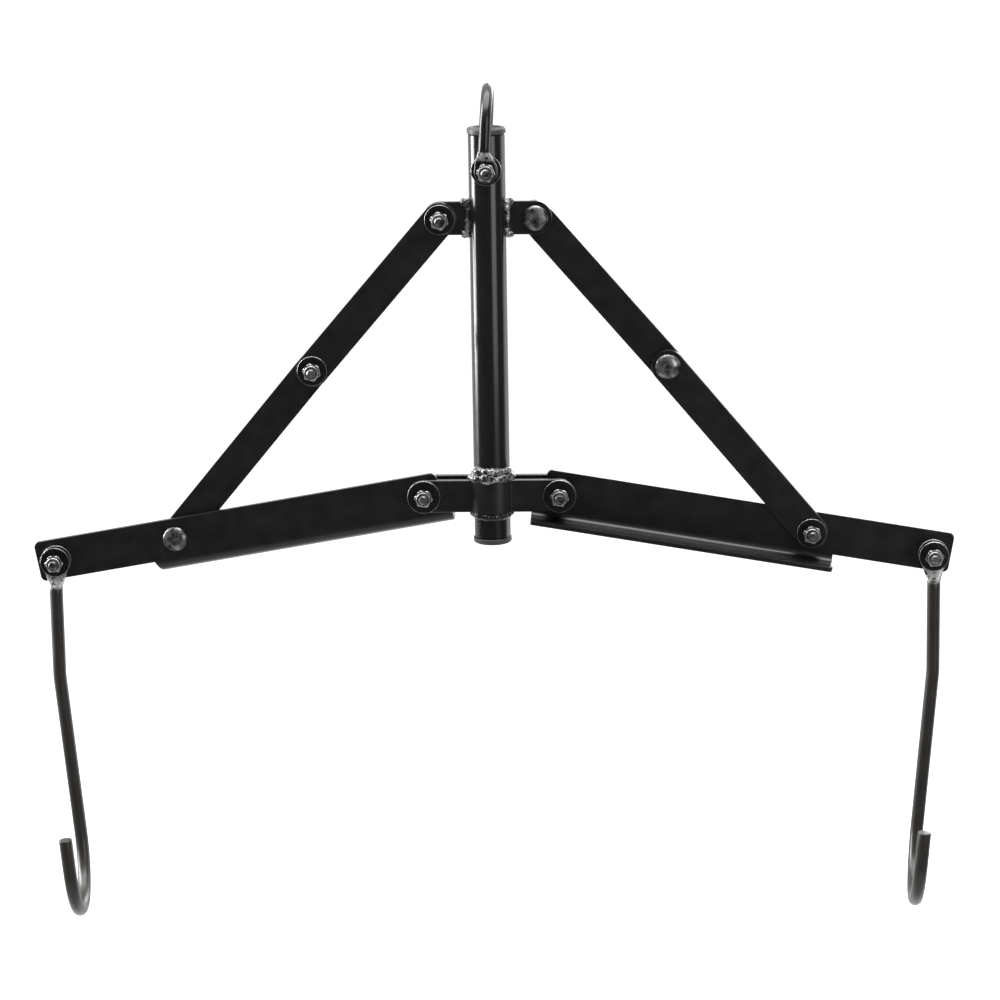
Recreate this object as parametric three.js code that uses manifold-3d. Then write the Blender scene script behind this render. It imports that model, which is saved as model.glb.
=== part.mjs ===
// Folding rack that hangs a bicycle by its top tube.
// An upright centre tube carries two arms, each stayed by a two-piece folding strut, and a J-shaped
// hook rod is bolted to the outer end of each arm. A smaller hook at the top carries the whole rack.
// Millimetres. +X is the rack's right seen from the front, +Y points to the back, +Z is up.
// The origin is the inside top of the top hook, where the rack hangs.
// Inside the file places are measured from the hub: on the tube's axis, level with the arm pivots.

import * as THREE from 'three';
import { mergeVertices } from 'three/addons/utils/BufferGeometryUtils.js';
import Module from 'manifold-3d';

const wasm = await Module();
wasm.setup();

// Gap left between faces that touch, and all round a bolt in its hole.
const PLAY = 0.3;

// Centre tube and its plastic caps.
const TUBE_DIAMETER = 22;
const TUBE_WALL = 1.5;
const TUBE_LENGTH = 245.5;
const TUBE_BELOW_HUB = 26.5;
const CAP_OVERHANG = 0.6;
const CAP_FLANGE = 3.4;
const CAP_EDGE = 1.1;
const CAP_PLUG = 11;

// Flat bar.
const BAR_THICKNESS = 3;
const LINK_WIDTH = 20;
const ARM_WIDTH = 25;
const ARM_CORNER = 3.5;

// Hub straps and upper lugs.
const STRAP_REACH = 30.1;
const LUG_REACH = 17.4;
const LUG_HEIGHT = 168.7;

// Arms. Stations are measured along the arm from its hub pivot.
const ARM_DROP_ANGLE = 9.7;
const STRUT_STATION = 154.8;
const HOOK_STATION = 229.1;
const ARM_END_MARGIN = 12;
const ARM_HUB_MARGIN = 9.4;
const FLANGE_DEPTH = 18;
const FLANGE_BEND = 4.2;
const FLANGE_TAB = 15;
const FLANGE_OVERRUN = 15.5;
const STOP_GAP = 4;

// Folding struts. The elbow stands this far outside the straight line between the strut's ends.
const UPPER_LINK = 120;
const ELBOW_KICK = 1;

// Hook rods.
const HOOK_ROD = 8;
const HOOK_EYE_DIAMETER = 16;
const HOOK_EYE_THICKNESS = 3.5;
const HOOK_NECK = 24;
const HOOK_UPPER_LEG = 70;
const HOOK_LOWER_LEG = { right: 95, left: 100 };
const HOOK_BEND_ANGLE = 5;
const HOOK_BEND_RADIUS = 60;
const HOOK_RADIUS = 35;
const HOOK_TIP = { right: 18.5, left: 21 };
const HOOK_TWIST = 3.5;
const HOOK_LEAN_OUT = 0.5;

// Top hook.
const TOP_BOLT_DROP = 20.4;
const TOP_ROD = 7;
const TOP_EYE_DIAMETER = 14.2;
const TOP_EYE_THICKNESS = 4.5;
const TOP_EYE_OFFSET = 1.7;
const TOP_NECK = 15;
const TOP_LEG = 24;
const TOP_RADIUS = 22;
const TOP_TIP = 12;
const TOP_TILT = 3.5;
const TOP_WASHER_RISE = 0.2;

// Fasteners.
const BOLT_DIAMETER = 6;
const BOLT_STICK_OUT = 1.8;
const HEAD_DIAMETER = 15.2;
const HEAD_HEIGHT = 3.4;
const NUT_FLATS = 10;
const NUT_HEIGHT = 4;
const COLLAR_DIAMETER = 8.8;
const COLLAR_HEIGHT = 2;
const WASHER_DIAMETER = 18;
const HUB_WASHER_DIAMETER = 20;
const WASHER_THICKNESS = 1.6;
const SPACER_DIAMETER = 14;

// How far two bodies that are joined into one run into each other.
const OVERLAP = 1;

// Half the angle that a rod's eye leaves open towards its neck.
const EYE_SHOULDER_ANGLE = 18;

// Facets round a full circle, and steps along a curve.
const ROUND = 12;
const ROD_ROUND = 10;
const TUBE_ROUND = 24;
const HOOK_TURN_STEPS = 14;
const BEND_STEPS = 2;
const DOME_STEPS = 3;
const FLANGE_BEND_STEPS = 4;

// Places that follow from the sizes above.
const TUBE_RADIUS = TUBE_DIAMETER / 2;
const TUBE_TOP = TUBE_LENGTH - TUBE_BELOW_HUB;
const HOLE_RADIUS = BOLT_DIAMETER / 2 + PLAY;
const LAYER = BAR_THICKNESS + PLAY;
const HUB_PIVOT_X = TUBE_RADIUS + STRAP_REACH;
const LUG_PIVOT_X = TUBE_RADIUS + LUG_REACH;
const ARM_DROP = THREE.MathUtils.degToRad(ARM_DROP_ANGLE);
const STRAP_INNER_FACE = 2 * LAYER - BAR_THICKNESS / 2;
const STRAP_OUTER_FACE = STRAP_INNER_FACE + BAR_THICKNESS;
const TOP_BOLT_HEIGHT = TUBE_TOP - TOP_BOLT_DROP;

const UP = new THREE.Vector3(0, 0, 1);
const DOWN = new THREE.Vector3(0, 0, -1);
const FRONT = new THREE.Vector3(0, -1, 0);
const BACK = new THREE.Vector3(0, 1, 0);

const blackPaint = new THREE.MeshStandardMaterial({ color: 0x1b1b1c, roughness: 0.35, metalness: 0.3 });
const rodPaint = new THREE.MeshStandardMaterial({ color: 0x2a2826, roughness: 0.4, metalness: 0.35 });
const blackZinc = new THREE.MeshStandardMaterial({ color: 0x34343a, roughness: 0.3, metalness: 0.8 });
const blackPlastic = new THREE.MeshStandardMaterial({ color: 0x151516, roughness: 0.5, metalness: 0 });

// ---------- solids ----------

function toSolid(geometry) {
  const bare = geometry.clone();
  bare.deleteAttribute('normal');
  bare.deleteAttribute('uv');
  const merged = mergeVertices(bare, 1e-4);
  return new wasm.Manifold(new wasm.Mesh({
    numProp: 3,
    vertProperties: new Float32Array(merged.attributes.position.array),
    triVerts: new Uint32Array(merged.index.array),
  }));
}

function toGeometry(solid) {
  const mesh = solid.getMesh();
  const geometry = new THREE.BufferGeometry();
  geometry.setAttribute('position', new THREE.BufferAttribute(mesh.vertProperties, 3));
  geometry.setIndex(new THREE.BufferAttribute(mesh.triVerts, 1));
  geometry.computeVertexNormals();
  return geometry;
}

// A flat plate: the outline's X and Y become the rack's X and Z, centred on `y`.
function plate(outline, thickness, y = 0) {
  const geometry = new THREE.ExtrudeGeometry(outline, {
    depth: thickness, bevelEnabled: false, curveSegments: ROUND / 2,
  });
  geometry.rotateX(Math.PI / 2);
  geometry.translate(0, y + thickness / 2, 0);
  return geometry;
}

// A turned piece about Z from [radius, height] pairs that go up its outside.
function turned(profile, facets = ROUND) {
  const points = profile.map(([radius, height]) => new THREE.Vector2(radius, height));
  const geometry = new THREE.LatheGeometry(points, facets);
  geometry.rotateX(Math.PI / 2);
  return geometry;
}

// A round bar that bends: each leg of the path has its own number of divisions.
class RodPath extends THREE.Curve {
  constructor(start, direction, moves) {
    super();
    this.legs = [];
    this.divisions = 0;
    let point = start.clone();
    let heading = direction.clone().normalize();
    for (const move of moves) {
      const leg = move.radius ? bendLeg(point, heading, move) : straightLeg(point, heading, move);
      this.legs.push(leg);
      this.divisions += leg.divisions;
      point = leg.at(1);
      heading = leg.leaving;
    }
  }

  getPoint(t) {
    let station = t * this.divisions;
    for (const leg of this.legs) {
      if (station <= leg.divisions) return leg.at(station / leg.divisions);
      station -= leg.divisions;
    }
    return this.legs.at(-1).at(1);
  }

  getPointAt(t) {
    return this.getPoint(t);
  }

  getTangentAt(t) {
    return this.getTangent(t);
  }
}

function straightLeg(start, heading, { length }) {
  return { divisions: 1, leaving: heading, at: (t) => start.clone().addScaledVector(heading, length * t) };
}

// The bar turns by `angle` towards `side`, which is square to its heading.
function bendLeg(start, heading, { radius, angle, side, divisions }) {
  const axis = heading.clone().cross(side).normalize();
  const centre = start.clone().addScaledVector(side, radius);
  const arm = start.clone().sub(centre);
  const at = (t) => arm.clone().applyAxisAngle(axis, angle * t).add(centre);
  return { divisions, leaving: heading.clone().applyAxisAngle(axis, angle), at };
}

function rod(diameter, path) {
  const section = new THREE.Shape().absarc(0, 0, diameter / 2, 0, 2 * Math.PI);
  return new THREE.ExtrudeGeometry(section, {
    steps: path.divisions, curveSegments: ROD_ROUND / 2, bevelEnabled: false, extrudePath: path,
  });
}

// ---------- outlines ----------

function hole(x, z) {
  return new THREE.Path().absarc(x, z, HOLE_RADIUS, 0, 2 * Math.PI);
}

// A bar with round ends and a hole at each, from 0 to `length`.
function linkOutline(length) {
  const half = LINK_WIDTH / 2;
  const outline = new THREE.Shape();
  outline.moveTo(0, -half);
  outline.lineTo(length, -half);
  outline.absarc(length, 0, half, -Math.PI / 2, Math.PI / 2);
  outline.lineTo(0, half);
  outline.absarc(0, 0, half, Math.PI / 2, 1.5 * Math.PI);
  outline.holes.push(hole(0, 0), hole(length, 0));
  return outline;
}

function roundedRectangle(left, right, bottom, top, corner) {
  const outline = new THREE.Shape();
  outline.moveTo(left + corner, bottom);
  outline.lineTo(right - corner, bottom);
  outline.absarc(right - corner, bottom + corner, corner, -Math.PI / 2, 0);
  outline.lineTo(right, top - corner);
  outline.absarc(right - corner, top - corner, corner, 0, Math.PI / 2);
  outline.lineTo(left + corner, top);
  outline.absarc(left + corner, top - corner, corner, Math.PI / 2, Math.PI);
  outline.lineTo(left, bottom + corner);
  outline.absarc(left + corner, bottom + corner, corner, Math.PI, 1.5 * Math.PI);
  return outline;
}

// The flattened end of a rod: a round eye that narrows to the rod at `neck` along +Z.
function eyeOutline(eyeDiameter, rodDiameter, neck, offset) {
  const half = rodDiameter / 2;
  const eye = eyeDiameter / 2;
  const side = THREE.MathUtils.degToRad(EYE_SHOULDER_ANGLE);
  const outline = new THREE.Shape();
  outline.moveTo(offset + half, neck);
  outline.lineTo(offset - half, neck);
  outline.absarc(0, 0, eye, Math.PI - side, 2 * Math.PI + side);
  outline.holes.push(hole(0, 0));
  return outline;
}

// ---------- pieces ----------

function tubeGeometry() {
  const bore = TUBE_RADIUS - TUBE_WALL;
  const wall = turned([
    [bore, -TUBE_BELOW_HUB], [TUBE_RADIUS, -TUBE_BELOW_HUB], [TUBE_RADIUS, TUBE_TOP], [bore, TUBE_TOP],
    [bore, -TUBE_BELOW_HUB],
  ], TUBE_ROUND);
  const drill = plate(new THREE.Shape().absarc(0, TOP_BOLT_HEIGHT, HOLE_RADIUS, 0, 2 * Math.PI), 2 * TUBE_DIAMETER);
  return toGeometry(toSolid(wall).subtract(toSolid(drill)));
}

// A plug with a flange that sits on the tube's end; +Z points out of the tube.
function capGeometry() {
  const plug = TUBE_RADIUS - TUBE_WALL - PLAY;
  const flange = TUBE_RADIUS + CAP_OVERHANG;
  return turned([
    [0, -CAP_PLUG], [plug, -CAP_PLUG], [plug, PLAY], [flange, PLAY], [flange, PLAY + CAP_FLANGE - CAP_EDGE],
    [flange - CAP_EDGE, PLAY + CAP_FLANGE], [0, PLAY + CAP_FLANGE],
  ], TUBE_ROUND);
}

// A plate welded edge-on to the tube's right side, with its pivot hole at (LUG_PIVOT_X, LUG_HEIGHT).
function lugGeometry() {
  const half = LINK_WIDTH / 2;
  const outline = new THREE.Shape();
  outline.moveTo(TUBE_RADIUS + PLAY, LUG_HEIGHT - half);
  outline.lineTo(LUG_PIVOT_X, LUG_HEIGHT - half);
  outline.absarc(LUG_PIVOT_X, LUG_HEIGHT, half, -Math.PI / 2, Math.PI / 2);
  outline.lineTo(TUBE_RADIUS + PLAY, LUG_HEIGHT + half);
  outline.holes.push(hole(LUG_PIVOT_X, LUG_HEIGHT));
  return plate(outline, BAR_THICKNESS);
}

// The back strap: a bar bowed round the back of the tube, with a round ear over each arm pivot.
function strapGeometry() {
  const inner = TUBE_RADIUS + PLAY;
  const outer = inner + BAR_THICKNESS;
  const end = HUB_PIVOT_X + LINK_WIDTH;
  const innerTurn = Math.asin(STRAP_INNER_FACE / inner);
  const outerTurn = Math.asin(STRAP_OUTER_FACE / outer);
  const section = new THREE.Shape();
  section.moveTo(-end, STRAP_OUTER_FACE);
  section.lineTo(-end, STRAP_INNER_FACE);
  section.absarc(0, 0, inner, Math.PI - innerTurn, innerTurn, true);
  section.lineTo(end, STRAP_INNER_FACE);
  section.lineTo(end, STRAP_OUTER_FACE);
  section.absarc(0, 0, outer, outerTurn, Math.PI - outerTurn, false);
  const bowed = new THREE.ExtrudeGeometry(section, {
    depth: 2 * LINK_WIDTH, bevelEnabled: false, curveSegments: ROUND / 2,
  });
  bowed.translate(0, 0, -LINK_WIDTH);
  const ears = linkOutline(2 * HUB_PIVOT_X);
  const trim = plate(ears, 2 * (outer + OVERLAP));
  trim.translate(-HUB_PIVOT_X, 0, 0);
  return toGeometry(toSolid(bowed).intersect(toSolid(trim)));
}

// An arm along +X from its hub pivot, in the layer centred on y = 0. Its lower edge carries a lip
// bent towards -Y, which runs from just past the strut's bolt to a stop tab inboard of the pivot. With
// the arm down, the tab's end stands STOP_GAP below the strap's lower edge.
function armGeometry() {
  const half = ARM_WIDTH / 2;
  const outline = roundedRectangle(-ARM_HUB_MARGIN, HOOK_STATION + ARM_END_MARGIN, -half, half, ARM_CORNER);
  outline.holes.push(hole(0, 0), hole(STRUT_STATION, 0), hole(HOOK_STATION, 0));
  const bar = toSolid(plate(outline, BAR_THICKNESS));

  const back = BAR_THICKNESS / 2;
  const front = back - FLANGE_DEPTH;
  const tabRise = FLANGE_TAB * Math.sin(ARM_DROP);
  const bottom = -(LINK_WIDTH / 2 + STOP_GAP + tabRise) / Math.cos(ARM_DROP) - BAR_THICKNESS;
  const outside = FLANGE_BEND + BAR_THICKNESS;
  const lip = new THREE.Shape();
  lip.moveTo(back, -half + ARM_CORNER);
  lip.lineTo(-back, -half + ARM_CORNER);
  lip.absarc(-back - FLANGE_BEND, bottom + outside, FLANGE_BEND, 0, -Math.PI / 2, true);
  lip.lineTo(front, bottom + BAR_THICKNESS);
  lip.lineTo(front, bottom);
  lip.absarc(back - outside, bottom + outside, outside, -Math.PI / 2, 0);
  const length = FLANGE_TAB + STRUT_STATION + FLANGE_OVERRUN;
  const strip = new THREE.ExtrudeGeometry(lip, {
    depth: length, bevelEnabled: false, curveSegments: FLANGE_BEND_STEPS,
  });
  strip.rotateX(Math.PI / 2);
  strip.rotateZ(Math.PI / 2);
  strip.translate(-FLANGE_TAB, 0, 0);
  return toGeometry(bar.add(toSolid(strip)));
}

// A flattened, drilled eye that runs into the round rod. The eye lies flush with the back of the rod,
// its back face on y = 0, and the rod leaves it along +Z.
function eyeSolid(eyeDiameter, rodDiameter, thickness, neck, offset) {
  const half = rodDiameter / 2;
  const flat = plate(eyeOutline(eyeDiameter, rodDiameter, neck, offset), thickness, -thickness / 2);
  const shoulder = new THREE.CylinderGeometry(half, thickness / 2, rodDiameter, ROD_ROUND);
  shoulder.rotateX(Math.PI / 2);
  shoulder.translate(offset, -half, neck - half);
  return toSolid(flat).add(toSolid(shoulder));
}

// A hook rod from its bolt at the origin, hanging along -Z, for the side whose inward direction is
// `inward` along X. The open hook turns towards the front and a little inwards.
function hookGeometry(side, inward) {
  const eye = toGeometry(eyeSolid(HOOK_EYE_DIAMETER, HOOK_ROD, HOOK_EYE_THICKNESS, HOOK_NECK, 0));
  eye.rotateY(Math.PI);
  const bend = THREE.MathUtils.degToRad(HOOK_BEND_ANGLE);
  const legStart = HOOK_NECK - OVERLAP;
  const lowerLeg = new THREE.Vector3(inward * Math.sin(bend), 0, -Math.cos(bend));
  const opening = FRONT.clone().applyAxisAngle(lowerLeg, -inward * THREE.MathUtils.degToRad(HOOK_TWIST));
  const path = new RodPath(new THREE.Vector3(0, -HOOK_ROD / 2, -legStart), DOWN, [
    { length: HOOK_UPPER_LEG - legStart },
    { radius: HOOK_BEND_RADIUS, angle: bend, side: new THREE.Vector3(inward, 0, 0), divisions: BEND_STEPS },
    { length: HOOK_LOWER_LEG[side] },
    { radius: HOOK_RADIUS, angle: Math.PI, side: opening, divisions: HOOK_TURN_STEPS },
    { length: HOOK_TIP[side] },
  ]);
  return toGeometry(toSolid(eye).add(toSolid(rod(HOOK_ROD, path))));
}

// The top hook from its bolt at the origin: up the front of the tube, over the cap and down behind.
function topHookGeometry() {
  const eye = eyeSolid(TOP_EYE_DIAMETER, TOP_ROD, TOP_EYE_THICKNESS, TOP_NECK, -TOP_EYE_OFFSET);
  const legStart = TOP_NECK - OVERLAP;
  const path = new RodPath(new THREE.Vector3(-TOP_EYE_OFFSET, -TOP_ROD / 2, legStart), UP, [
    { length: TOP_LEG - legStart },
    { radius: TOP_RADIUS, angle: Math.PI, side: BACK, divisions: HOOK_TURN_STEPS },
    { length: TOP_TIP },
  ]);
  return toGeometry(eye.add(toSolid(rod(TOP_ROD, path))));
}

// Fasteners stand on z = 0 with +Z pointing away from the joint.

// A bolt with a domed head on z = 0 and a shank that runs back to -length.
function boltGeometry(length) {
  const shank = BOLT_DIAMETER / 2;
  const dome = [];
  for (let step = 0; step < DOME_STEPS; step += 1) {
    const rise = step / DOME_STEPS * Math.PI / 2;
    dome.push([HEAD_DIAMETER / 2 * Math.cos(rise), HEAD_HEIGHT * Math.sin(rise)]);
  }
  return turned([[0, -length], [shank, -length], [shank, 0], ...dome, [0, HEAD_HEIGHT]]);
}

// The plain threaded end of a bolt, from z = 0 back to -length.
function studGeometry(length) {
  const shank = BOLT_DIAMETER / 2;
  return turned([[0, -length], [shank, -length], [shank, 0], [0, 0]]);
}

function ringGeometry(diameter, thickness) {
  const outer = diameter / 2;
  return turned([[HOLE_RADIUS, 0], [outer, 0], [outer, thickness], [HOLE_RADIUS, thickness], [HOLE_RADIUS, 0]]);
}

// A hexagon nut with a round locking collar.
function nutGeometry() {
  const corner = NUT_FLATS / Math.sqrt(3);
  const hexagon = turned([
    [HOLE_RADIUS, 0], [corner, 0], [corner, NUT_HEIGHT], [HOLE_RADIUS, NUT_HEIGHT], [HOLE_RADIUS, 0],
  ], 6);
  const top = NUT_HEIGHT + OVERLAP;
  const bore = turned([[0, -OVERLAP], [HOLE_RADIUS, -OVERLAP], [HOLE_RADIUS, top], [0, top]]);
  const collar = ringGeometry(COLLAR_DIAMETER, COLLAR_HEIGHT + OVERLAP);
  collar.translate(0, 0, NUT_HEIGHT - OVERLAP);
  return toGeometry(toSolid(hexagon).subtract(toSolid(bore)).add(toSolid(collar)));
}

// ---------- assembly ----------

function place(parent, name, geometry, material, x = 0, y = 0, z = 0) {
  const mesh = new THREE.Mesh(geometry, material);
  mesh.name = name;
  mesh.position.set(x, y, z);
  parent.add(mesh);
  return mesh;
}

// A group whose +X points along `angle` in the plane of the rack, anticlockwise from the right.
function turnedGroup(parent, x, y, z, angle) {
  const group = new THREE.Group();
  group.position.set(x, y, z);
  group.rotation.y = -angle;
  parent.add(group);
  return group;
}

// Fasteners stacked outwards from a face at `y`, towards the front (-1) or the back (+1).
// Each item is [name, geometry, thickness, material, rise].
function stack(parent, x, y, z, towards, items) {
  let level = y;
  for (const [name, geometry, thickness, material, rise = 0] of items) {
    level += towards * PLAY;
    const piece = place(parent, name, geometry, material, x, level, z + rise);
    piece.rotation.x = -towards * Math.PI / 2;
    level += towards * thickness;
  }
  return level;
}

// Shank length of a bolt that reaches from its head's face, across `grip`, through washers and nut.
function shankLength(grip, washers = 1) {
  return grip + 2 * PLAY + washers * (WASHER_THICKNESS + PLAY) + NUT_HEIGHT + COLLAR_HEIGHT + BOLT_STICK_OUT;
}

function washerItem(name, diameter = WASHER_DIAMETER, rise = 0) {
  return [name, ringGeometry(diameter, WASHER_THICKNESS), WASHER_THICKNESS, blackZinc, rise];
}

function nutItem(name) {
  return [name, nutGeometry(), NUT_HEIGHT + COLLAR_HEIGHT, blackZinc];
}

function boltItem(name, length) {
  return [name, boltGeometry(length), HEAD_HEIGHT, blackZinc];
}

// A bolt through `grip` of material whose outer faces are at `headFace` and `nutFace`.
function boltJoint(parent, name, x, z, headFace, nutFace, washerDiameter = WASHER_DIAMETER) {
  const towardsNut = Math.sign(nutFace - headFace);
  const length = shankLength(Math.abs(nutFace - headFace));
  stack(parent, x, headFace, z, -towardsNut, [boltItem(`${name}_bolt`, length)]);
  stack(parent, x, nutFace, z, towardsNut, [
    washerItem(`${name}_washer`, washerDiameter), nutItem(`${name}_nut`),
  ]);
}

// Layers of flat bar, counted from the tube's axis: a layer's faces lie at its centre -/+ half a bar.
const layerFront = (layer) => layer * LAYER - BAR_THICKNESS / 2;
const layerBack = (layer) => layer * LAYER + BAR_THICKNESS / 2;
const spacerLength = STRAP_INNER_FACE + layerFront(1) - 2 * PLAY;

const rack = new THREE.Group();
const hub = new THREE.Group();
rack.add(hub);

place(hub, 'centre_tube', tubeGeometry(), blackPaint);
place(hub, 'top_cap', capGeometry(), blackPlastic, 0, 0, TUBE_TOP);
place(hub, 'bottom_cap', capGeometry(), blackPlastic, 0, 0, -TUBE_BELOW_HUB).rotation.x = Math.PI;
place(hub, 'rear_strap', strapGeometry(), blackPaint);
place(hub, 'front_strap', strapGeometry(), blackPaint).rotation.z = Math.PI;

// The strut's ends and elbow on the right side, in the plane of the rack.
const lugPivot = new THREE.Vector2(LUG_PIVOT_X, LUG_HEIGHT);
const strutPivot = new THREE.Vector2(HUB_PIVOT_X, 0)
  .add(new THREE.Vector2(STRUT_STATION, 0).rotateAround(new THREE.Vector2(), -ARM_DROP));
const strutLine = strutPivot.clone().sub(lugPivot).normalize();
const outward = new THREE.Vector2(-strutLine.y, strutLine.x);
const elbow = lugPivot.clone()
  .addScaledVector(strutLine, Math.sqrt(UPPER_LINK ** 2 - ELBOW_KICK ** 2))
  .addScaledVector(outward, ELBOW_KICK);
const lowerLink = elbow.distanceTo(strutPivot);

// One side's arm and strut, built as the right side. The left side is the same set turned half round
// the tube, so its arm and upper link lie in front where the right side's lie behind.
function addSide(side, turn) {
  const half = new THREE.Group();
  half.rotation.z = turn;
  hub.add(half);

  place(half, `${side}_lug`, lugGeometry(), blackPaint);
  boltJoint(half, `${side}_lug`, LUG_PIVOT_X, LUG_HEIGHT, layerFront(0), layerBack(1));

  const upper = turnedGroup(half, lugPivot.x, LAYER, lugPivot.y, elbow.clone().sub(lugPivot).angle());
  place(upper, `${side}_upper_link`, plate(linkOutline(UPPER_LINK), BAR_THICKNESS), blackPaint);
  const lower = turnedGroup(half, strutPivot.x, 0, strutPivot.y, elbow.clone().sub(strutPivot).angle());
  place(lower, `${side}_lower_link`, plate(linkOutline(lowerLink), BAR_THICKNESS), blackPaint);

  // The elbow's bolt is parted between the two links, so that each link carries its own half.
  stack(half, elbow.x, layerFront(0), elbow.y, -1, [
    boltItem(`${side}_elbow_bolt`, BAR_THICKNESS + PLAY),
  ]);
  stack(half, elbow.x, layerBack(1), elbow.y, 1, [
    washerItem(`${side}_elbow_washer`), nutItem(`${side}_elbow_nut`),
  ]);
  const studLength = shankLength(BAR_THICKNESS) - PLAY;
  const stud = place(half, `${side}_elbow_stud`, studGeometry(studLength), blackZinc);
  stud.position.set(elbow.x, layerFront(1) + studLength, elbow.y);
  stud.rotation.x = -Math.PI / 2;

  const arm = turnedGroup(half, HUB_PIVOT_X, LAYER, 0, -ARM_DROP);
  place(arm, `${side}_arm`, armGeometry(), blackPaint);
  boltJoint(half, `${side}_strut`, strutPivot.x, strutPivot.y, layerBack(1), layerFront(0));
  stack(half, HUB_PIVOT_X, layerFront(1), 0, -1, [
    [`${side}_hub_spacer`, ringGeometry(SPACER_DIAMETER, spacerLength), spacerLength, blackZinc],
  ]);
}

addSide('right', 0);
addSide('left', Math.PI);

// Both hub bolts and both hook bolts have their nuts in front.
const hookEyeBack = layerFront(-1) - PLAY - WASHER_THICKNESS - PLAY;
for (const [side, outwardX, armLayer] of [['right', 1, 1], ['left', -1, -1]]) {
  boltJoint(hub, `${side}_hub`, outwardX * HUB_PIVOT_X, 0, STRAP_OUTER_FACE, -STRAP_OUTER_FACE,
    HUB_WASHER_DIAMETER);

  const hookX = outwardX * (HUB_PIVOT_X + HOOK_STATION * Math.cos(ARM_DROP));
  const hookZ = -HOOK_STATION * Math.sin(ARM_DROP);
  const eyeFront = hookEyeBack - HOOK_EYE_THICKNESS;
  const length = shankLength(layerBack(armLayer) - eyeFront);
  stack(hub, hookX, layerBack(armLayer), hookZ, 1, [boltItem(`${side}_hook_bolt`, length)]);
  if (armLayer > 0) {
    stack(hub, hookX, layerFront(armLayer), hookZ, -1, [
      [`${side}_hook_spacer`, ringGeometry(SPACER_DIAMETER, spacerLength), spacerLength, blackZinc],
    ]);
  }
  stack(hub, hookX, layerFront(-1), hookZ, -1, [washerItem(`${side}_hook_back_washer`)]);
  stack(hub, hookX, eyeFront, hookZ, -1, [washerItem(`${side}_hook_washer`), nutItem(`${side}_hook_nut`)]);
  const hook = place(hub, `${side}_hook`, hookGeometry(side, -outwardX), rodPaint, hookX, hookEyeBack, hookZ);
  hook.rotation.y = -outwardX * THREE.MathUtils.degToRad(HOOK_LEAN_OUT);
}

// The top hook is bolted through the tube, with a washer between its eye and the tube.
const topEyeBack = -TUBE_RADIUS - PLAY - WASHER_THICKNESS - PLAY;
const topEyeFront = topEyeBack - TOP_EYE_THICKNESS;
const topGrip = TUBE_RADIUS - topEyeFront;
stack(hub, 0, TUBE_RADIUS, TOP_BOLT_HEIGHT, 1, [boltItem('top_bolt', shankLength(topGrip, 0))]);
stack(hub, 0, -TUBE_RADIUS, TOP_BOLT_HEIGHT, -1, [washerItem('top_washer', WASHER_DIAMETER, TOP_WASHER_RISE)]);
stack(hub, 0, topEyeFront, TOP_BOLT_HEIGHT, -1, [nutItem('top_nut')]);
const topHook = place(hub, 'top_hook', topHookGeometry(), rodPaint, 0, topEyeBack, TOP_BOLT_HEIGHT);
topHook.rotation.y = THREE.MathUtils.degToRad(TOP_TILT);

// The rack hangs from the inside top of the top hook, which becomes the origin.
topHook.updateMatrixWorld(true);
const hangingPoint = new THREE.Vector3(
  -TOP_EYE_OFFSET, TOP_RADIUS - TOP_ROD / 2, TOP_LEG + TOP_RADIUS - TOP_ROD / 2,
).applyMatrix4(topHook.matrixWorld);
hub.position.copy(hangingPoint).negate();

export default rack;
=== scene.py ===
import math

import bmesh
import bpy
from mathutils import Matrix, Vector


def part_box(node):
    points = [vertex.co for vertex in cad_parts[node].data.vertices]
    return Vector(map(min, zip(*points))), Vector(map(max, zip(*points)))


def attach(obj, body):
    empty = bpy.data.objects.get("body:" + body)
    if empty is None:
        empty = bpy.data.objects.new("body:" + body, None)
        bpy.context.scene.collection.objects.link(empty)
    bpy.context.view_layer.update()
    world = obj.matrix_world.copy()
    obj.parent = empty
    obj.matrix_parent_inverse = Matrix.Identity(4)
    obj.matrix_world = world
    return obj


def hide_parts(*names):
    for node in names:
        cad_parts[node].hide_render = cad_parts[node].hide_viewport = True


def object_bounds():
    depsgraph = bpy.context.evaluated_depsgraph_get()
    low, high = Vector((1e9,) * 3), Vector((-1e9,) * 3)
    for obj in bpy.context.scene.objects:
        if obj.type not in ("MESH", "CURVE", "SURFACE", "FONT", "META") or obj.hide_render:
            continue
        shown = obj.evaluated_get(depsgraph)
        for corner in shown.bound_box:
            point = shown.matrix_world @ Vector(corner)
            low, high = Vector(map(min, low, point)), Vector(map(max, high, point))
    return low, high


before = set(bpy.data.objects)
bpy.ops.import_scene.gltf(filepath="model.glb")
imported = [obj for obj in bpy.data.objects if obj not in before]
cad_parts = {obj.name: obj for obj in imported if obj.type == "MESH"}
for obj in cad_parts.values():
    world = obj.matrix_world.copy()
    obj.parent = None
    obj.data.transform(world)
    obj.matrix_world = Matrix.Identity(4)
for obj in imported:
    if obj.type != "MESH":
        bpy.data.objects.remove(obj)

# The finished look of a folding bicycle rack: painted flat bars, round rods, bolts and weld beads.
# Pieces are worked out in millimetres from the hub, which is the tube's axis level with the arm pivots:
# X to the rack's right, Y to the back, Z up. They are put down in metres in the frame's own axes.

CAD_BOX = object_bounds()
MM = 0.001
SIDES = {"right": 1, "left": -1}

# Flat bar and tube, as in the solids.
PLAY = 0.3
BAR = 3.0
LAYER = BAR + PLAY
BAR_EDGE = 0.35
TUBE_WALL = 1.5
TUBE_EDGE = 0.3
STRAP_FILLET = 2.5
BAR_SHARP = 18

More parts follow.
